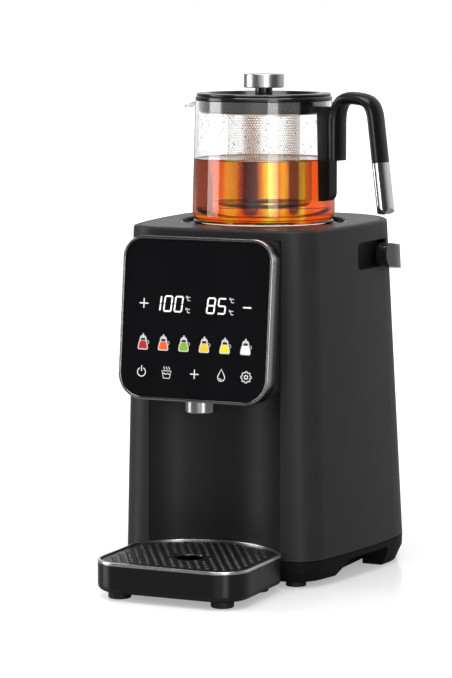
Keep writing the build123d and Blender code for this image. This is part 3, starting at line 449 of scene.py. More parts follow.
# ------------------------------------------------------------------ mesh helpers
def piece(name, bm, finishes, body, smooth=None):
    """Makes a mesh piece that rides on a body."""
    bmesh.ops.recalc_face_normals(bm, faces=bm.faces[:])
    mesh = bpy.data.meshes.new(name)
    bm.to_mesh(mesh)
    bm.free()
    for finish in finishes:
        mesh.materials.append(finish)
    made = bpy.data.objects.new(name, mesh)
    bpy.context.scene.collection.objects.link(made)
    if smooth is not None:
        mesh.shade_smooth()
        mesh.set_sharp_from_angle(angle=math.radians(smooth))
    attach(made, body)
    return made


def dress(finish, *nodes):
    """Gives CAD nodes a finish."""
    for name in nodes:
        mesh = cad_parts[name].data
        mesh.materials.clear()
        mesh.materials.append(finish)


def ring_of(bm, centre, radius, height, steps):
    """Level ring of vertices, or one vertex where the radius is nothing."""
    if radius < 1e-7:
        return [bm.verts.new((centre.x, centre.y, height))]
    turns = [2 * math.pi * k / steps for k in range(steps)]
    spots = [(centre.x + radius * math.cos(t), centre.y + radius * math.sin(t)) for t in turns]
    return [bm.verts.new((x, y, height)) for x, y in spots]


def lathe(bm, centre, profile, steps=96, closed=False):
    """Turns a profile of radius and height, in metres, about an upright axis."""
    rings = [ring_of(bm, centre, radius, height, steps) for radius, height in profile]
    pairs = list(zip(rings, rings[1:]))
    if closed:
        pairs.append((rings[-1], rings[0]))
    for low, high in pairs:
        for k in range(steps):
            corners = [low[k % len(low)], low[(k + 1) % len(low)]]
            corners += [high[(k + 1) % len(high)], high[k % len(high)]]
            corners = list(dict.fromkeys(corners))
            if len(corners) > 2:
                bm.faces.new(corners)


# ------------------------------------------------------------------ panel marks
class Panel:
    """Places flat marks on the leaning glass of the panel, in millimetres from its middle."""

    def __init__(self, lean, lift=0.0):
        low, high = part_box("panel_glass")
        self.across = Vector((1, 0, 0))
        self.up = Vector((0, math.sin(lean), math.cos(lean)))
        self.out = Vector((0, -math.cos(lean), math.sin(lean)))
        depth = (high.y - low.y - (high.z - low.z) * math.tan(lean)) * math.cos(lean)
        self.face = (low + high) / 2 + self.out * max(abs(depth) / 2, 1.0 * MM)
        self.lift = lift

    def point(self, x, y, lift):
        """A place on the panel, raised off its glass by a lift in metres."""
        return self.face + self.across * (x * MM) + self.up * (y * MM) + self.out * lift

    def slab(self, bm, outline, material=0, lift=1.0):
        """Thin slab of ink with the outline of a closed polygon."""
        ahead = outline[1:] + outline[:1]
        if sum(a[0] * b[1] - b[0] * a[1] for a, b in zip(outline, ahead)) < 0:
            outline = outline[::-1]
        low = [bm.verts.new(self.point(x, y, -0.02 * MM)) for x, y in outline]
        high = [bm.verts.new(self.point(x, y, self.lift * lift)) for x, y in outline]
        faces = [bm.faces.new(high)]
        for k in range(len(outline)):
            after = (k + 1) % len(outline)
            faces.append(bm.faces.new((low[k], low[after], high[after], high[k])))
        for face in faces:
            face.material_index = material

    def line(self, bm, points, width, closed=False):
        """Stroke of even width along points."""
        count = len(points)
        left, right = [], []
        for k in range(count):
            before = points[k - 1] if k or closed else points[k]
            after = points[(k + 1) % count] if k < count - 1 or closed else points[k]
            run = Vector((after[0] - before[0], after[1] - before[1])).normalized()
            side = Vector((-run.y, run.x)) * width / 2
            left.append((points[k][0] + side.x, points[k][1] + side.y))
            right.append((points[k][0] - side.x, points[k][1] - side.y))
        for k in range(count if closed else count - 1):
            after = (k + 1) % count
            self.slab(bm, [right[k], right[after], left[after], left[k]])


def arc(x, y, radius, start, end, steps=24):
    """Points on an arc; angles in degrees."""
    turns = [math.radians(start + (end - start) * k / steps) for k in range(steps + 1)]
    return [(x + radius * math.cos(t), y + radius * math.sin(t)) for t in turns]


def bar(x0, y0, x1, y1, width):
    """Outline of a straight stroke with pointed ends."""
    run = Vector((x1 - x0, y1 - y0))
    along = run.normalized() * width / 2
    side = Vector((-along.y, along.x))
    start, end = Vector((x0, y0)), Vector((x1, y1))
    corners = [start, start + along + side, end - along + side, end]
    corners += [end - along - side, start + along - side]
    return [tuple(c) for c in corners]


SEGMENTS = {  # strokes of a digit on a box one wide and two high
    "top": (0, 2, 1, 2),
    "upper right": (1, 2, 1, 1),
    "lower right": (1, 1, 1, 0),
    "bottom": (0, 0, 1, 0),
    "lower left": (0, 1, 0, 0),
    "upper left": (0, 2, 0, 1),
    "middle": (0, 1, 1, 1),
}
DARK_SEGMENTS = {
    "0": {"middle"},
    "1": set(SEGMENTS) - {"upper right", "lower right"},
    "5": {"upper right", "lower left"},
    "8": set(),
}
# digits of the two readings, each with its left side from the middle of the panel, mm
READINGS = (("1", -37.9), ("0", -28.0), ("0", -18.4), ("8", 10.7), ("5", 20.4))
DEGREE_X, DEGREE_Y = (-6.6, 32.4), (16.9, 7.1)  # a pair of degree marks by each reading
KEY_X = (-46.4, -23.6, 1.5, 25.6, 47.7)  # middles of the low keys


class PanelSettings(bpy.types.PropertyGroup):
    """Sizes and colours of the marks on the panel."""

    lean: angle_prop("Lean", "Lean of the panel", 6.0)
    lift: length_prop("Ink", "Thickness of the ink", 0.06)
    digit_width: length_prop("Digit width", "Width of a digit", 6.4)
    digit_height: length_prop("Digit height", "Height of a digit", 12.3)
    digit_stroke: length_prop("Digit stroke", "Stroke of a digit", 1.35)
    digit_slant: angle_prop("Slant", "Slant of the digits", 6.0)
    digit_rise: length_prop("Digit rise", "Digits above the middle", 12.2)
    icon_pitch: length_prop("Tea mark pitch", "From one tea mark to the next", 18.45)
    icon_drop: length_prop("Tea mark drop", "Tea marks below the middle", 19.8)
    low_drop: length_prop("Key drop", "Low keys below the middle", 44.4)
    ink: colour_prop("Ink colour", "Colour of the marks", (0.9, 0.9, 0.9))
    glow: share_prop("Glow", "Strength of the light behind the marks", 0.2)


TEA_COLOURS = (
    ("red_tea", (0.42, 0.02, 0.008)),
    ("orange_tea", (0.78, 0.10, 0.008)),
    ("green_tea", (0.22, 0.42, 0.008)),
    ("golden_tea", (0.78, 0.50, 0.01)),
    ("lemon_tea", (0.80, 0.66, 0.01)),
    ("pale_tea", (0.85, 0.85, 0.84)),
)


class TEAMAKER_OT_digits(bpy.types.Operator):
    """Add the two temperature readings to the panel"""

    bl_idname = "teamaker.digits"
    bl_label = "Panel readings"

    def execute(self, context):
        s = context.scene.teamaker_panel
        panel = Panel(s.lean, s.lift)
        bm = bmesh.new()
        sizes = ("digit_width", "digit_height", "digit_stroke", "digit_rise")
        width, height, stroke, base = in_mm(s, *sizes)
        slant = math.tan(s.digit_slant)
        for digit, left in READINGS:
            for name, (x0, y0, x1, y1) in SEGMENTS.items():
                if name not in DARK_SEGMENTS[digit]:
                    ends = []
                    for x, y in ((x0, y0), (x1, y1)):
                        rise = (y - 1) * height / 2
                        ends += [left + x * width + rise * slant, base + rise]
                    panel.slab(bm, bar(*ends, stroke))
        ink = printed("reading_ink", tuple(s.ink), s.glow * 2.6)
        piece("panel_readings", bm, [ink], "body")
        return {"FINISHED"}


class TEAMAKER_OT_marks(bpy.types.Operator):
    """Add the degree marks and the key symbols to the panel"""

    bl_idname = "teamaker.marks"
    bl_label = "Panel keys"

    def execute(self, context):
        s = context.scene.teamaker_panel
        panel = Panel(s.lean, s.lift)
        bm = bmesh.new()
        for x in DEGREE_X:
            for y in DEGREE_Y:
                panel.line(bm, arc(x - 1.5, y + 1.5, 0.65, 0, 345, 12), 0.42)
                panel.line(bm, arc(x + 0.7, y - 0.1, 1.5, 50, 310, 14), 0.5)
        self.cross(bm, panel, -46.7, 11.8, 4.2)
        panel.slab(bm, [(42.4, 11.3), (49.8, 11.3), (49.8, 12.6), (42.4, 12.6)])
        low = -s.low_drop / MM
        self.power(bm, panel, KEY_X[0], low)
        self.cup(bm, panel, KEY_X[1], low)
        self.cross(bm, panel, KEY_X[2], low, 4.0, 0.85)
        self.drop(bm, panel, KEY_X[3], low)
        self.cog(bm, panel, KEY_X[4], low)
        ink = printed("key_ink", tuple(s.ink), s.glow)
        piece("panel_keys", bm, [ink], "body")
        return {"FINISHED"}

    @staticmethod
    def cross(bm, panel, x, y, reach, width=1.0):
        """Plus sign."""
        panel.slab(bm, bar(x - reach, y, x + reach, y, width))
        panel.slab(bm, bar(x, y - reach, x, y + reach, width), lift=1.15)

    @staticmethod
    def power(bm, panel, x, y):
        """Open ring with a stroke at its top."""
        panel.line(bm, arc(x, y - 0.5, 3.6, 118, 422), 0.75)
        panel.slab(bm, bar(x, y, x, y + 5.0, 0.75))

    @staticmethod
    def cup(bm, panel, x, y):
        """Steaming cup."""
        side = [(x - 4.1, y + 1.4), (x - 2.7, y - 4.6), (x + 2.7, y - 4.6), (x + 4.1, y + 1.4)]
        panel.line(bm, side, 0.65, closed=True)
        wave = [(x - 3.3 + k * 0.6, y - 1.0 + 0.5 * math.sin(k * 1.1)) for k in range(12)]
        panel.line(bm, wave, 0.6)
        for step in (-1, 0, 1):
            left, low = x + 2.3 * step, y + 2.6
            steam = [(left + 0.4 * math.sin(k * 1.2), low + 0.45 * k) for k in range(6)]
            panel.line(bm, steam, 0.55)

    @staticmethod
    def drop(bm, panel, x, y):
        """Drop of water with a glint."""
        belly = arc(x, y - 1.3, 3.1, -215, 35, 26)
        panel.line(bm, [*belly, (x, y + 5.4)], 0.7, closed=True)
        panel.line(bm, arc(x, y - 1.3, 1.7, 200, 290, 8), 0.6)

    @staticmethod
    def cog(bm, panel, x, y):
        """Toothed wheel with a hub."""
        steps = 64
        rim = []
        for k in range(steps):
            turn = 2 * math.pi * k / steps
            reach = 4.15 + 0.55 * math.tanh(2.5 * math.cos(8 * turn))
            rim.append((x + reach * math.cos(turn), y + reach * math.sin(turn)))
        panel.line(bm, rim, 0.65, closed=True)
        panel.line(bm, arc(x, y, 1.5, 0, 345, 20), 0.75, closed=True)


class TEAMAKER_OT_tea_marks(bpy.types.Operator):
    """Add the six tea symbols to the panel"""

    bl_idname = "teamaker.tea_marks"
    bl_label = "Tea symbols"

    def execute(self, context):
        s = context.scene.teamaker_panel
        panel = Panel(s.lean, s.lift)
        bm = bmesh.new()
        finishes = [printed("symbol_ink", scaled(s.ink, 0.78), s.glow * 0.5)]
        finishes.append(printed("symbol_dark", (0.01, 0.01, 0.01), 0.0))
        pitch, drop = in_mm(s, "icon_pitch", "icon_drop")
        for k, (name, colour) in enumerate(TEA_COLOURS):
            finishes.append(printed(name, colour, s.glow * 2))
            self.pot(bm, panel, (k - 2.5) * pitch, -drop, k + 2)
        piece("panel_tea_symbols", bm, finishes, "body")
        return {"FINISHED"}

    @staticmethod
    def pot(bm, panel, x, y, tea):
        """Teapot filled with the colour of its tea."""
        outline = [(-4.7, -5.0), (-4.5, -6.0), (-3.7, -6.7), (3.7, -6.7), (4.5, -6.0), (4.7, -5.0)]
        outline += [(4.2, -1.6), (3.1, 1.6), (3.0, 3.4), (2.1, 4.6), (0.8, 5.2), (0.5, 6.6)]
        outline += [(-0.5, 6.6), (-0.8, 5.2), (-2.1, 4.6), (-3.0, 3.4), (-3.1, 1.6), (-4.2, -1.6)]
        panel.slab(bm, [(x + px, y + py) for px, py in outline])
        inside = [(-3.8, -5.1), (-3.3, -5.8), (3.3, -5.8), (3.8, -5.1)]
        inside += [(3.2, -1.6), (2.3, 0.6), (-2.3, 0.6), (-3.2, -1.6)]
        panel.slab(bm, [(x + px, y + py) for px, py in inside], tea, 1.3)
        slot = [(-2.0, 1.0), (-1.7, 2.9), (1.7, 2.9), (2.0, 1.0)]
        panel.slab(bm, [(x + px, y + py) for px, py in slot], 1, 1.3)
        panel.line(bm, arc(x + 3.9, y - 0.4, 1.5, -70, 100, 10), 0.4)


# ------------------------------------------------------------------ tea and pot
class TeaSettings(bpy.types.PropertyGroup):
    """The tea in the pot and the drops on the glass."""

    level: length_prop("Level", "Tea above the foot of the pot", 55.0)
    colour: colour_prop("Tea", "Colour of the tea", (0.95, 0.11, 0.006))
    # deep colours the painted shade bands, gold the painted highlight streaks
    deep: colour_prop("Deep tea", "Colour of the bands", (0.05, 0.002, 0.001))
    gold: colour_prop("Golden tea", "Colour of the streaks", (1.0, 0.80, 0.03))
    drops: IntProperty(name="Drops", description="Drops on the glass above the tea", default=1100)


# height above the pot's foot and inner radius, mm
POT_BORE = ((5.0, 53.8), (6.7, 57.6), (10.0, 58.6), (15.0, 58.6), (105.0, 56.1))


def bore_radius(height):
    """Inner radius of the pot at a height above its foot, in millimetres."""
    for (low, r0), (high, r1) in zip(POT_BORE, POT_BORE[1:]):
        if height <= high:
            return r0 + (r1 - r0) * (height - low) / (high - low)
    return POT_BORE[-1][1]


class TEAMAKER_OT_tea(bpy.types.Operator):
    """Add the tea in the pot"""

    bl_idname = "teamaker.tea"
    bl_label = "Tea"

    def execute(self, context):
        s = context.scene.teamaker_tea
        level = s.level / MM
        soak = 0.25  # the tea reaches this far into the glass, so no gap shows
        profile = [(0, 5.0 - soak)]
        profile += [(r + soak, h - soak) for h, r in POT_BORE[:2]]
        profile += [(bore_radius(h) + soak, h) for h in (10, 15, 25, 35, 45, level - 2)]
        edge = bore_radius(level)
        profile += [(edge + soak, level + 0.9), (edge - 0.5, level + 0.35)]
        profile += [(edge - 2.2, level), (0, level)]
        bm = bmesh.new()
        lathe(bm, AXIS, [(r * MM, POT_FOOT + h * MM) for r, h in profile], steps=128)
        # s.deep and s.gold colour the painted shade and the painted highlights in the tea
        finish = brewed("tea", tuple(s.colour), tuple(s.deep), tuple(s.gold))
        piece("tea", bm, [finish], "teapot", smooth=40)
        return {"FINISHED"}


class TEAMAKER_OT_drops(bpy.types.Operator):
    """Add the drops on the inside of the glass above the tea"""

    bl_idname = "teamaker.drops"
    bl_label = "Drops"

    def execute(self, context):
        s = context.scene.teamaker_tea
        level = s.level / MM
        scatter = random.Random(7)
        corners, tall = 8, 1.15
        bm = bmesh.new()
        for _ in range(s.drops):
            turn = scatter.uniform(0, 2 * math.pi)
            height = scatter.uniform(level + 4, 92)
            size = 0.26 + 0.45 * scatter.random() ** 4
            radius = bore_radius(height) + 0.05
            out = Vector((math.cos(turn), math.sin(turn), 0))
            side = Vector((-out.y, out.x, 0))
            spot = AXIS + out * (radius * MM)
            spot.z = POT_FOOT + height * MM
            rim = []
            for k in range(corners):
                t = 2 * math.pi * k / corners
                lift = Vector((0, 0, size * MM * tall * math.sin(t)))
                rim.append(bm.verts.new(spot + side * (size * MM * math.cos(t)) + lift))
            crown = spot - out * (size * 0.45 * MM)
            ridge = [bm.verts.new(crown + (v.co - spot) * 0.6) for v in rim]
            for k in range(corners):
                after = (k + 1) % corners
                bm.faces.new((rim[k], rim[after], ridge[after], ridge[k]))
            bm.faces.new(ridge)
            bm.faces.new(rim[::-1])
        piece("pot_drops", bm, [droplet_glass("drop_water")], "teapot", smooth=60)
        return {"FINISHED"}


class InfuserSettings(bpy.types.PropertyGroup):
    """The perforated basket."""

    pitch: length_prop("Pitch", "From one hole of the basket to the next", 2.4)
    opening: share_prop("Opening", "Share of the pitch that is open", 0.76)


class TEAMAKER_OT_infuser(bpy.types.Operator):
    """Add the perforated steel basket"""

    bl_idname = "teamaker.infuser"
    bl_label = "Infuser basket"

    def execute(self, context):
        s = context.scene.teamaker_infuser
        low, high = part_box("infuser_basket")
        radius = 30.8 * MM
        wall = 0.25 * MM
        foot = low.z + 4 * MM
        top = high.z - 2.5 * MM
        around = round(2 * math.pi * radius / s.pitch)
        rows = round((top - foot) / (s.pitch * 0.87))
        step = (top - foot) / rows
        half = s.pitch * s.opening / 2
        bm = bmesh.new()
        for row in range(rows):
            level, shift = foot + (row + 0.5) * step, 0.5 * (row % 2)
            for k in range(around):
                self.cell(bm, radius, level, k + shift, around, step, half)
        bmesh.ops.remove_doubles(bm, verts=bm.verts[:], dist=0.02 * MM)
        # the brown tint is partly painted light, for the amber light through the tea, and partly
        # tea stain; the mesh's bands are painted shade
        sheer = mesh_with_painted_shade("mesh_steel", (0.62, 0.34, 0.16))
        steel = brushed("band_steel", (0.80, 0.66, 0.54), 0.3)
        made = piece("infuser_mesh", bm, [sheer], "infuser", smooth=50)
        thick = made.modifiers.new("wall", "SOLIDIFY")
        thick.thickness = wall
        thick.offset = -1
        frame_bm = bmesh.new()
        rim = 55.2 * MM
        floor = [(0, low.z), (radius - 3 * MM, low.z), (radius, low.z + 3 * MM)]
        floor += [(radius, foot + 0.4 * MM), (radius - 0.7 * MM, foot + 0.4 * MM)]
        floor += [(radius - 0.7 * MM, low.z + 3.2 * MM), (radius - 3.3 * MM, low.z + 0.7 * MM)]
        floor += [(0, low.z + 0.7 * MM)]
        lathe(frame_bm, AXIS, floor)
        neck = [(radius - 0.8 * MM, top - 0.4 * MM), (radius, top - 0.4 * MM)]
        neck += [(radius, high.z - 0.9 * MM), (rim - 1.2 * MM, high.z - 0.9 * MM)]
        neck += [(rim - 1.0 * MM, high.z), (radius - 0.8 * MM, high.z)]
        lathe(frame_bm, AXIS, neck, closed=True)
        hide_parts("infuser_basket")
        piece("infuser_bands", frame_bm, [steel], "infuser", smooth=40)
        return {"FINISHED"}

    @staticmethod
    def cell(bm, radius, height, place, around, step, half):
        """One cell of the sheet with an eight-sided hole in it."""
        width = 2 * math.pi * radius / around

        def at(x, z):
            turn = 2 * math.pi * place / around + x / radius
            out = Vector((math.cos(turn), math.sin(turn), 0))
            return bm.verts.new((AXIS.x + radius * out.x, AXIS.y + radius * out.y, height + z))

        w, h = width / 2, step / 2
        outer = [(w, 0), (w, h), (0, h), (-w, h), (-w, 0), (-w, -h), (0, -h), (w, -h)]
        rim = [at(x, z) for x, z in outer]
        turns = [math.pi * k / 4 for k in range(8)]
        hole = [at(half * math.cos(t), half * math.sin(t)) for t in turns]
        for k in range(8):
            after = (k + 1) % 8
            bm.faces.new((rim[k], rim[after], hole[after], hole[k]))


# ------------------------------------------------------------------ grille rims
class GrilleSettings(bpy.types.PropertyGroup):
    """The pressed rims round the holes of the grille."""

    pitch: length_prop("Pitch", "From one hole to the next", 7.5)
    hole: length_prop("Hole", "Radius of a hole", 2.1)
    drain: length_prop("Drain", "Radius of the drain in the middle", 12.5)
    rim: length_prop("Rim", "Width of the pressed rim", 0.5)
    rise: length_prop("Rise", "Height of the pressed rim", 0.25)


class TEAMAKER_OT_grille_rims(bpy.types.Operator):
    """Add the pressed rims round the holes of the grille, and painted glints on their far sides"""

    bl_idname = "teamaker.grille_rims"
    bl_label = "Grille rims"

    def execute(self, context):
        s = context.scene.teamaker_grille
        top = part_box("tray_grille")[1].z
        bm = bmesh.new()
        painted_glints = bmesh.new()
        pitch, hole, drain, rim, rise = in_mm(s, "pitch", "hole", "drain", "rim", "rise")
        for x, y in self.holes(pitch):
            self.collar(bm, x, y, hole, rim, rise, top, 14)
            # painted highlight: a bright metal arc on each hole's far rim stands for its glint
            self.painted_glint(painted_glints, x, y, hole, rim, rise, top, 30)
        self.collar(bm, 0, 0, drain, 1.2, rise, top, 48)
        self.painted_glint(painted_glints, 0, 0, drain, 1.0, rise, top, 55)
        coat = enamelled("rim_coat", (0.012, 0.012, 0.012), 0.3)
        piece("grille_rims", bm, [coat], "grille", smooth=60)
        glint_metal = polished("painted_glint_metal", (0.62, 0.62, 0.62), 0.25)
        piece("grille_painted_glints", painted_glints, [glint_metal], "grille", smooth=60)
        return {"FINISHED"}

    @staticmethod
    def holes(pitch):
        """Places of the holes from the middle of the tray's arc, in millimetres."""
        row_pitch = pitch * math.sin(math.radians(60))
        arc_reach, half, front, corner = 76.0, 67.0, 54.0, 26.0  # outline of the grille
        margin, side, drain = 9.0, 58.9, 16.6  # no hole beyond these
        rows = round(2 * arc_reach / row_pitch)
        for row in range(-rows // 2, rows // 2 + 1):
            y = row * row_pitch
            count = round(2 * half / pitch) + row % 2
            for i in range(count):
                x = (i - (count - 1) / 2) * pitch
                reach = math.hypot(x, y)
                aside, ahead = abs(x) - (half - corner), -y - (front - corner)
                cut = aside > 0 and ahead > 0 and math.hypot(aside, ahead) > corner - margin
                inside = (reach < arc_reach - margin or y < 0) and not cut
                if inside and -y < front - margin and abs(x) < side and reach > drain:
                    yield x, y

    @staticmethod
    def painted_glint(bm, x, y, hole, rim, rise, top, spread):
        """Painted highlight: a bright metal arc on the rear side of a rim, in millimetres and
        degrees.
        """
        # 114 degrees is the far side of each hole, whose inner face looks towards the camera
        rear, steps = 114, 8
        profile = [(hole - 0.04, -0.7), (hole - 0.04, rise * 0.9), (hole + rim * 0.5, rise + 0.05)]
        turns = [math.radians(rear + spread * (2 * k / steps - 1)) for k in range(steps + 1)]
        rows = []
        for reach, height in profile:
            row = []
            for t in turns:
                px, py = x + reach * math.cos(t), y + reach * math.sin(t)
                spot = (AXIS.x + px * MM, TRAY_ARC_Y + py * MM, top + height * MM)
                row.append(bm.verts.new(spot))
            rows.append(row)
        for low, high in zip(rows, rows[1:]):
            for k in range(steps):
                bm.faces.new((low[k], low[k + 1], high[k + 1], high[k]))

    @staticmethod
    def collar(bm, x, y, hole, rim, rise, top, steps):
        """Pressed rim round one hole, in millimetres."""
        centre = Vector((AXIS.x + x * MM, TRAY_ARC_Y + y * MM, 0))
        profile = [(hole + rim, 0.0), (hole + rim * 0.6, rise * 0.8), (hole + rim * 0.25, rise)]
        profile += [(hole, rise * 0.7), (hole, -1.2)]
        lathe(bm, centre, [(r * MM, top + h * MM) for r, h in profile], steps=steps)


# ------------------------------------------------------------- dressing the parts
class CaseSettings(bpy.types.PropertyGroup):
    """Colours of the mouldings."""

    shell: colour_prop("Shell", "Colour of the body", (0.026, 0.026, 0.027))
    column: colour_prop("Column", "Colour of the cup niche", (0.019, 0.019, 0.02))
    gloss: colour_prop("Gloss", "Colour of the glossy pieces", (0.01, 0.01, 0.01))
    roughness: share_prop("Roughness", "Roughness of the body", 0.42)


class TEAMAKER_OT_case(bpy.types.Operator):
    """Finish the mouldings outside"""

    bl_idname = "teamaker.case"
    bl_label = "Case"

    def execute(self, context):
        s = context.scene.teamaker_case
        dress(moulded("body_black", tuple(s.shell), s.roughness), "body_shell", "water_tank")
        base = moulded("base_black", scaled(s.shell, 0.3), s.roughness + 0.05, level=0.1)
        dress(base, "base_skirt")
        column = moulded("column_black", tuple(s.column), s.roughness - 0.04)
        dress(column, "splash_column", "panel_housing")
        dress(moulded("deck_black", tuple(s.shell), 0.36, level=0.5), "top_deck")
        gloss = moulded("black_gloss", tuple(s.gloss), 0.16, depth=0.004, level=0.5, coat=0.3)
        dress(gloss, "recess_dish", "infuser_collar", "lid_disc", "tank_grip")
        handle = moulded("handle_black", scaled(s.gloss, 0.6), 0.26, depth=0.004, level=0.4)
        dress(handle, "handle_post", "handle_grip")
        tray = moulded("tray_black", scaled(s.gloss, 0.6), 0.22, depth=0.004, level=0.5)
        dress(tray, "drip_tray")
        dress(enamelled("plate_coat", (0.03, 0.03, 0.032), 0.34), "warming_plate")
        dress(enamelled("grille_coat", (0.006, 0.006, 0.006), 0.3), "tray_grille")
        dress(rubber("black_rubber", (0.015, 0.015, 0.015)), "body_feet", "tray_feet", "outlet_tip")
        return {"FINISHED"}


class TEAMAKER_OT_bright(bpy.types.Operator):
    """Finish the metal and glass outside"""

    bl_idname = "teamaker.bright"
    bl_label = "Metal and glass"

    def execute(self, context):
        panel = Panel(context.scene.teamaker_panel.lean)
        # the second colour is painted shade on the bezel's side towards the body
        bezel = self.bezel("bezel_metal", (0.55, 0.54, 0.54), (0.02, 0.02, 0.02), panel)
        dress(bezel, "panel_bezel")
        dress(polished("trim_metal", (0.9, 0.9, 0.9), 0.26, edge=1.0), "tray_trim")
        dress(polished("chrome", (0.78, 0.78, 0.78), 0.09), "handle_tip")
        dress(polished("knob_chrome", (0.74, 0.74, 0.74), 0.30, edge=0.8), "lid_knob")
        dress(polished("satin_chrome", (0.62, 0.62, 0.62), 0.16), "outlet_nozzle")
        dress(dark_glass("panel_black", (0.006, 0.006, 0.007)), "panel_glass")
        dress(clear_glass("clear_glass"), "pot_glass")
        return {"FINISHED"}

    @staticmethod
    def bezel(name, colour, rear, panel):
        """Polished at the front of the bezel, turning dark towards the body: painted shade on its
        side.
        """
        f = Finish(name)
        wipe = f.noise(f.place((1, 1, 0.2)), 3, detail=3)
        behind = (panel.face.dot(panel.out) - f.along(panel.out)) / MM
        return f.surface(
            {
                # painted shade: the metal colour darkens from 1.5 mm to 9.5 mm behind the panel's
                # face
                "Base Color": f.blend(behind.between(1.5, 9.5), colour, rear),
                "Metallic": 1.0,
                "Roughness": 0.17 + (wipe - 0.5) * 0.05,
                "Normal": f.bump(wipe, 0.001, f.softened(1.4)),
            }
        )


class TEAMAKER_OT_inner(bpy.types.Operator):
    """Finish the parts inside the body"""

    bl_idname = "teamaker.inner"
    bl_label = "Inner parts"

    def execute(self, context):
        plastic = moulded("inner_plastic", (0.06, 0.06, 0.06), 0.5)
        dress(plastic, "bay_bulkhead", "display_modules", "tank_lid", "tank_dock")
        dress(plastic, "water_pump", "board_components", "mains_inlet")
        silicone = rubber("silicone", (0.7, 0.7, 0.69), 0.5)
        dress(silicone, "plate_seal", "touch_pads", "tank_valve", "lid_seal")
        dress(silicone, "inlet_hose", "feed_hose", "outlet_hose")
        dress(rubber("mount_rubber", (0.015, 0.015, 0.015)), "pump_mounts")
        steel = brushed("steel", (0.6, 0.6, 0.6))
        dress(steel, "heater_element", "plate_thermostat", "water_heater", "heater_bracket")
        dress(steel, "temperature_sensor", "case_screws", "knob_screw", "infuser_basket")
        dress(circuit("board_green", (0.02, 0.16, 0.07)), "display_board", "power_board")
        return {"FINISHED"}


# ------------------------------------------------------------------------ stage
class StageSettings(bpy.types.PropertyGroup):
    """Camera and floor."""

    turn: angle_prop("Turn", "Camera to the right of the front", 24.2)
    rise: angle_prop("Rise", "Camera above level", 6.9)
    reach: length_prop("Reach", "Camera from the deck", 2536.7)
    lens: FloatProperty(name="Lens", description="Focal length", default=157.17, unit="CAMERA")
    floor: colour_prop("Floor", "Colour of the floor", (0.85, 0.85, 0.85))


IMAGE_WIDTH, IMAGE_HEIGHT = 452, 678
DECK_X, DECK_Y = 263.6, 219.9  # where the middle of the deck stands in the frame
LIT_PLACE = Vector((0, 0, 0.22))  # the lamps point here
LAMPS = (  # place and size in metres, power in watts
    ("left_lamp", (-1.7, -0.7, 0.8), 0.9, 1.5, 17),
    ("right_lamp", (1.3, -1.6, 0.7), 0.6, 1.4, 9),
    ("top_lamp", (0.1, -0.3, 2.0), 1.6, 1.2, 22),
)


class TEAMAKER_OT_camera(bpy.types.Operator):
    """Add the camera"""

    bl_idname = "teamaker.camera"
    bl_label = "Camera"

    def execute(self, context):
        s = context.scene.teamaker_stage
        level = math.cos(s.rise)
        ahead = Vector((-math.sin(s.turn) * level, math.cos(s.turn) * level, -math.sin(s.rise)))
        right = Vector((math.cos(s.turn), math.sin(s.turn), 0))
        up = right.cross(ahead)
        lens = bpy.data.cameras.new("camera")
        lens.sensor_fit = "VERTICAL"
        lens.sensor_height = 36
        lens.lens = s.lens
        lens.clip_start, lens.clip_end = 0.05, 60
        pixels = s.lens * IMAGE_HEIGHT / lens.sensor_height
        x = (DECK_X - IMAGE_WIDTH / 2) / pixels
        y = (IMAGE_HEIGHT / 2 - DECK_Y) / pixels
        target = Vector((AXIS.x, AXIS.y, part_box("top_deck")[1].z))
        where = target - (ahead + right * x + up * y) * s.reach
        camera = bpy.data.objects.new("camera", lens)
        context.scene.collection.objects.link(camera)
        turned = Matrix((right, up, -ahead)).transposed().to_4x4()
        camera.matrix_world = Matrix.Translation(where) @ turned
        context.scene.camera = camera
        return {"FINISHED"}


def softbox(name, where, width, height, power):
    """Large soft lamp that points at the object."""
    lamp = bpy.data.lights.new(name, "AREA")
    lamp.shape = "RECTANGLE"
    lamp.size, lamp.size_y = width, height
    lamp.energy = power
    made = bpy.data.objects.new(name, lamp)
    bpy.context.scene.collection.objects.link(made)
    turned = (LIT_PLACE - Vector(where)).to_track_quat("-Z", "Y").to_matrix().to_4x4()
    made.matrix_world = Matrix.Translation(where) @ turned


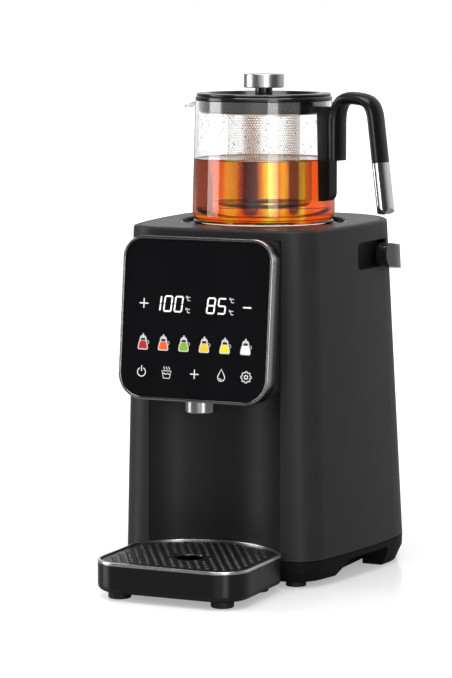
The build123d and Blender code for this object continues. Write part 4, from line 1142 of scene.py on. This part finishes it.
class TEAMAKER_OT_stage(bpy.types.Operator):
    """Add the floor, the backdrop light and the soft lamps"""

    bl_idname = "teamaker.stage"
    bl_label = "Stage"

    def execute(self, context):
        s = context.scene.teamaker_stage
        self.floor(tuple(s.floor))
        self.backdrop(context.scene)
        for lamp in LAMPS:
            softbox(*lamp)
        context.scene.view_settings.view_transform = "Standard"
        return {"FINISHED"}

    @staticmethod
    def floor(colour):
        """Pale floor that keeps its shadow, and is seen darker in glossy pieces."""
        bm = bmesh.new()
        reach = 14.0
        steps = 8
        size = 2 * reach / steps
        for i in range(steps):
            for j in range(steps):
                x0, y0 = i * size - reach, j * size - reach
                corners = ((0, 0), (size, 0), (size, size), (0, size))
                bm.faces.new([bm.verts.new((x0 + x, y0 + y, 0)) for x, y in corners])
        bmesh.ops.remove_doubles(bm, verts=bm.verts[:], dist=1e-5)
        mesh = bpy.data.meshes.new("floor")
        bm.to_mesh(mesh)
        bm.free()
        made = bpy.data.objects.new("floor", mesh)
        bpy.context.scene.collection.objects.link(made)
        f = Finish("floor_paper")
        seen = f.seen()
        paper = f.blend(f.noise(f.place(), 60, detail=2), scaled(colour, 0.995), colour)
        length = {"operation": "LENGTH"}
        away = f.node("ShaderNodeVectorMath", length, {0: f.place()}, out="Value")
        # partly white backdrop, partly painted shade round the object: the camera glow grows from
        # 0.35 m to 1.6 m out, so the floor near the object is darker than far out
        glow = seen * (0.37 + away.between(0.35, 1.6) * 0.5)
        finish = f.surface(
            {
                "Base Color": f.blend(f.ray("Glossy") * 0.75, paper, (0.04, 0.04, 0.04)),
                "Roughness": 0.2,
                "Specular IOR Level": 0.5,
                "Emission Color": f.blend(glow, (0, 0, 0), (1, 1, 1)),
                "Emission Strength": 1.0,
            }
        )
        mesh.materials.append(finish)

    @staticmethod
    def backdrop(scene):
        """White to the camera and through glass, a dim studio with a bright front to the rest."""
        world = bpy.data.worlds.new("studio")
        scene.world = world
        f = Finish("studio", world)
        mirrored = f.ray("Glossy")
        where = f.node("ShaderNodeTexCoord", out="Generated")
        front = {0: where, 1: (0.40, -0.89, 0.2)}
        ahead = f.node("ShaderNodeVectorMath", {"operation": "DOT_PRODUCT"}, front, out="Value")
        rear = f.part(where, "Y").between(0.1, 0.9)
        room = 0.05 + rear * 0.65 + ahead.between(0.80, 0.98) * 0.9
        seen = f.seen()
        strength = seen + (1 - seen) * (mirrored * room + (1 - mirrored) * 0.5)
        light = {"Color": (1, 1, 1, 1), "Strength": strength}
        f.node("ShaderNodeOutputWorld", {}, {"Surface": f.node("ShaderNodeBackground", {}, light)})


class TEAMAKER_PT_sidebar(bpy.types.Panel):
    """Shows the settings of the tea maker and a button for each step"""

    bl_idname = "TEAMAKER_PT_sidebar"
    bl_label = "Tea maker"
    bl_space_type = "VIEW_3D"
    bl_region_type = "UI"
    bl_category = "Tea maker"

    def draw(self, context):
        for name, owner in SETTINGS.items():
            box = self.layout.box()
            for prop in owner.__annotations__:
                box.prop(getattr(context.scene, name), prop)
        for operator in OPERATORS:
            self.layout.operator(operator.bl_idname)


SETTINGS = {
    "teamaker_case": CaseSettings,
    "teamaker_panel": PanelSettings,
    "teamaker_tea": TeaSettings,
    "teamaker_infuser": InfuserSettings,
    "teamaker_grille": GrilleSettings,
    "teamaker_stage": StageSettings,
}
OPERATORS = (
    TEAMAKER_OT_camera,
    TEAMAKER_OT_case,
    TEAMAKER_OT_bright,
    TEAMAKER_OT_inner,
    TEAMAKER_OT_digits,
    TEAMAKER_OT_marks,
    TEAMAKER_OT_tea_marks,
    TEAMAKER_OT_tea,
    TEAMAKER_OT_drops,
    TEAMAKER_OT_infuser,
    TEAMAKER_OT_grille_rims,
    TEAMAKER_OT_stage,
)


def register():
    for owner in (*SETTINGS.values(), *OPERATORS, TEAMAKER_PT_sidebar):
        bpy.utils.register_class(owner)
    for name, owner in SETTINGS.items():
        setattr(bpy.types.Scene, name, PointerProperty(type=owner))


def unregister():
    for name in SETTINGS:
        delattr(bpy.types.Scene, name)
    for owner in reversed((*SETTINGS.values(), *OPERATORS, TEAMAKER_PT_sidebar)):
        bpy.utils.unregister_class(owner)


def main():
    register()
    for operator in OPERATORS:
        group, name = operator.bl_idname.split(".")
        getattr(getattr(bpy.ops, group), name)()


if __name__ == "__main__":
    main()
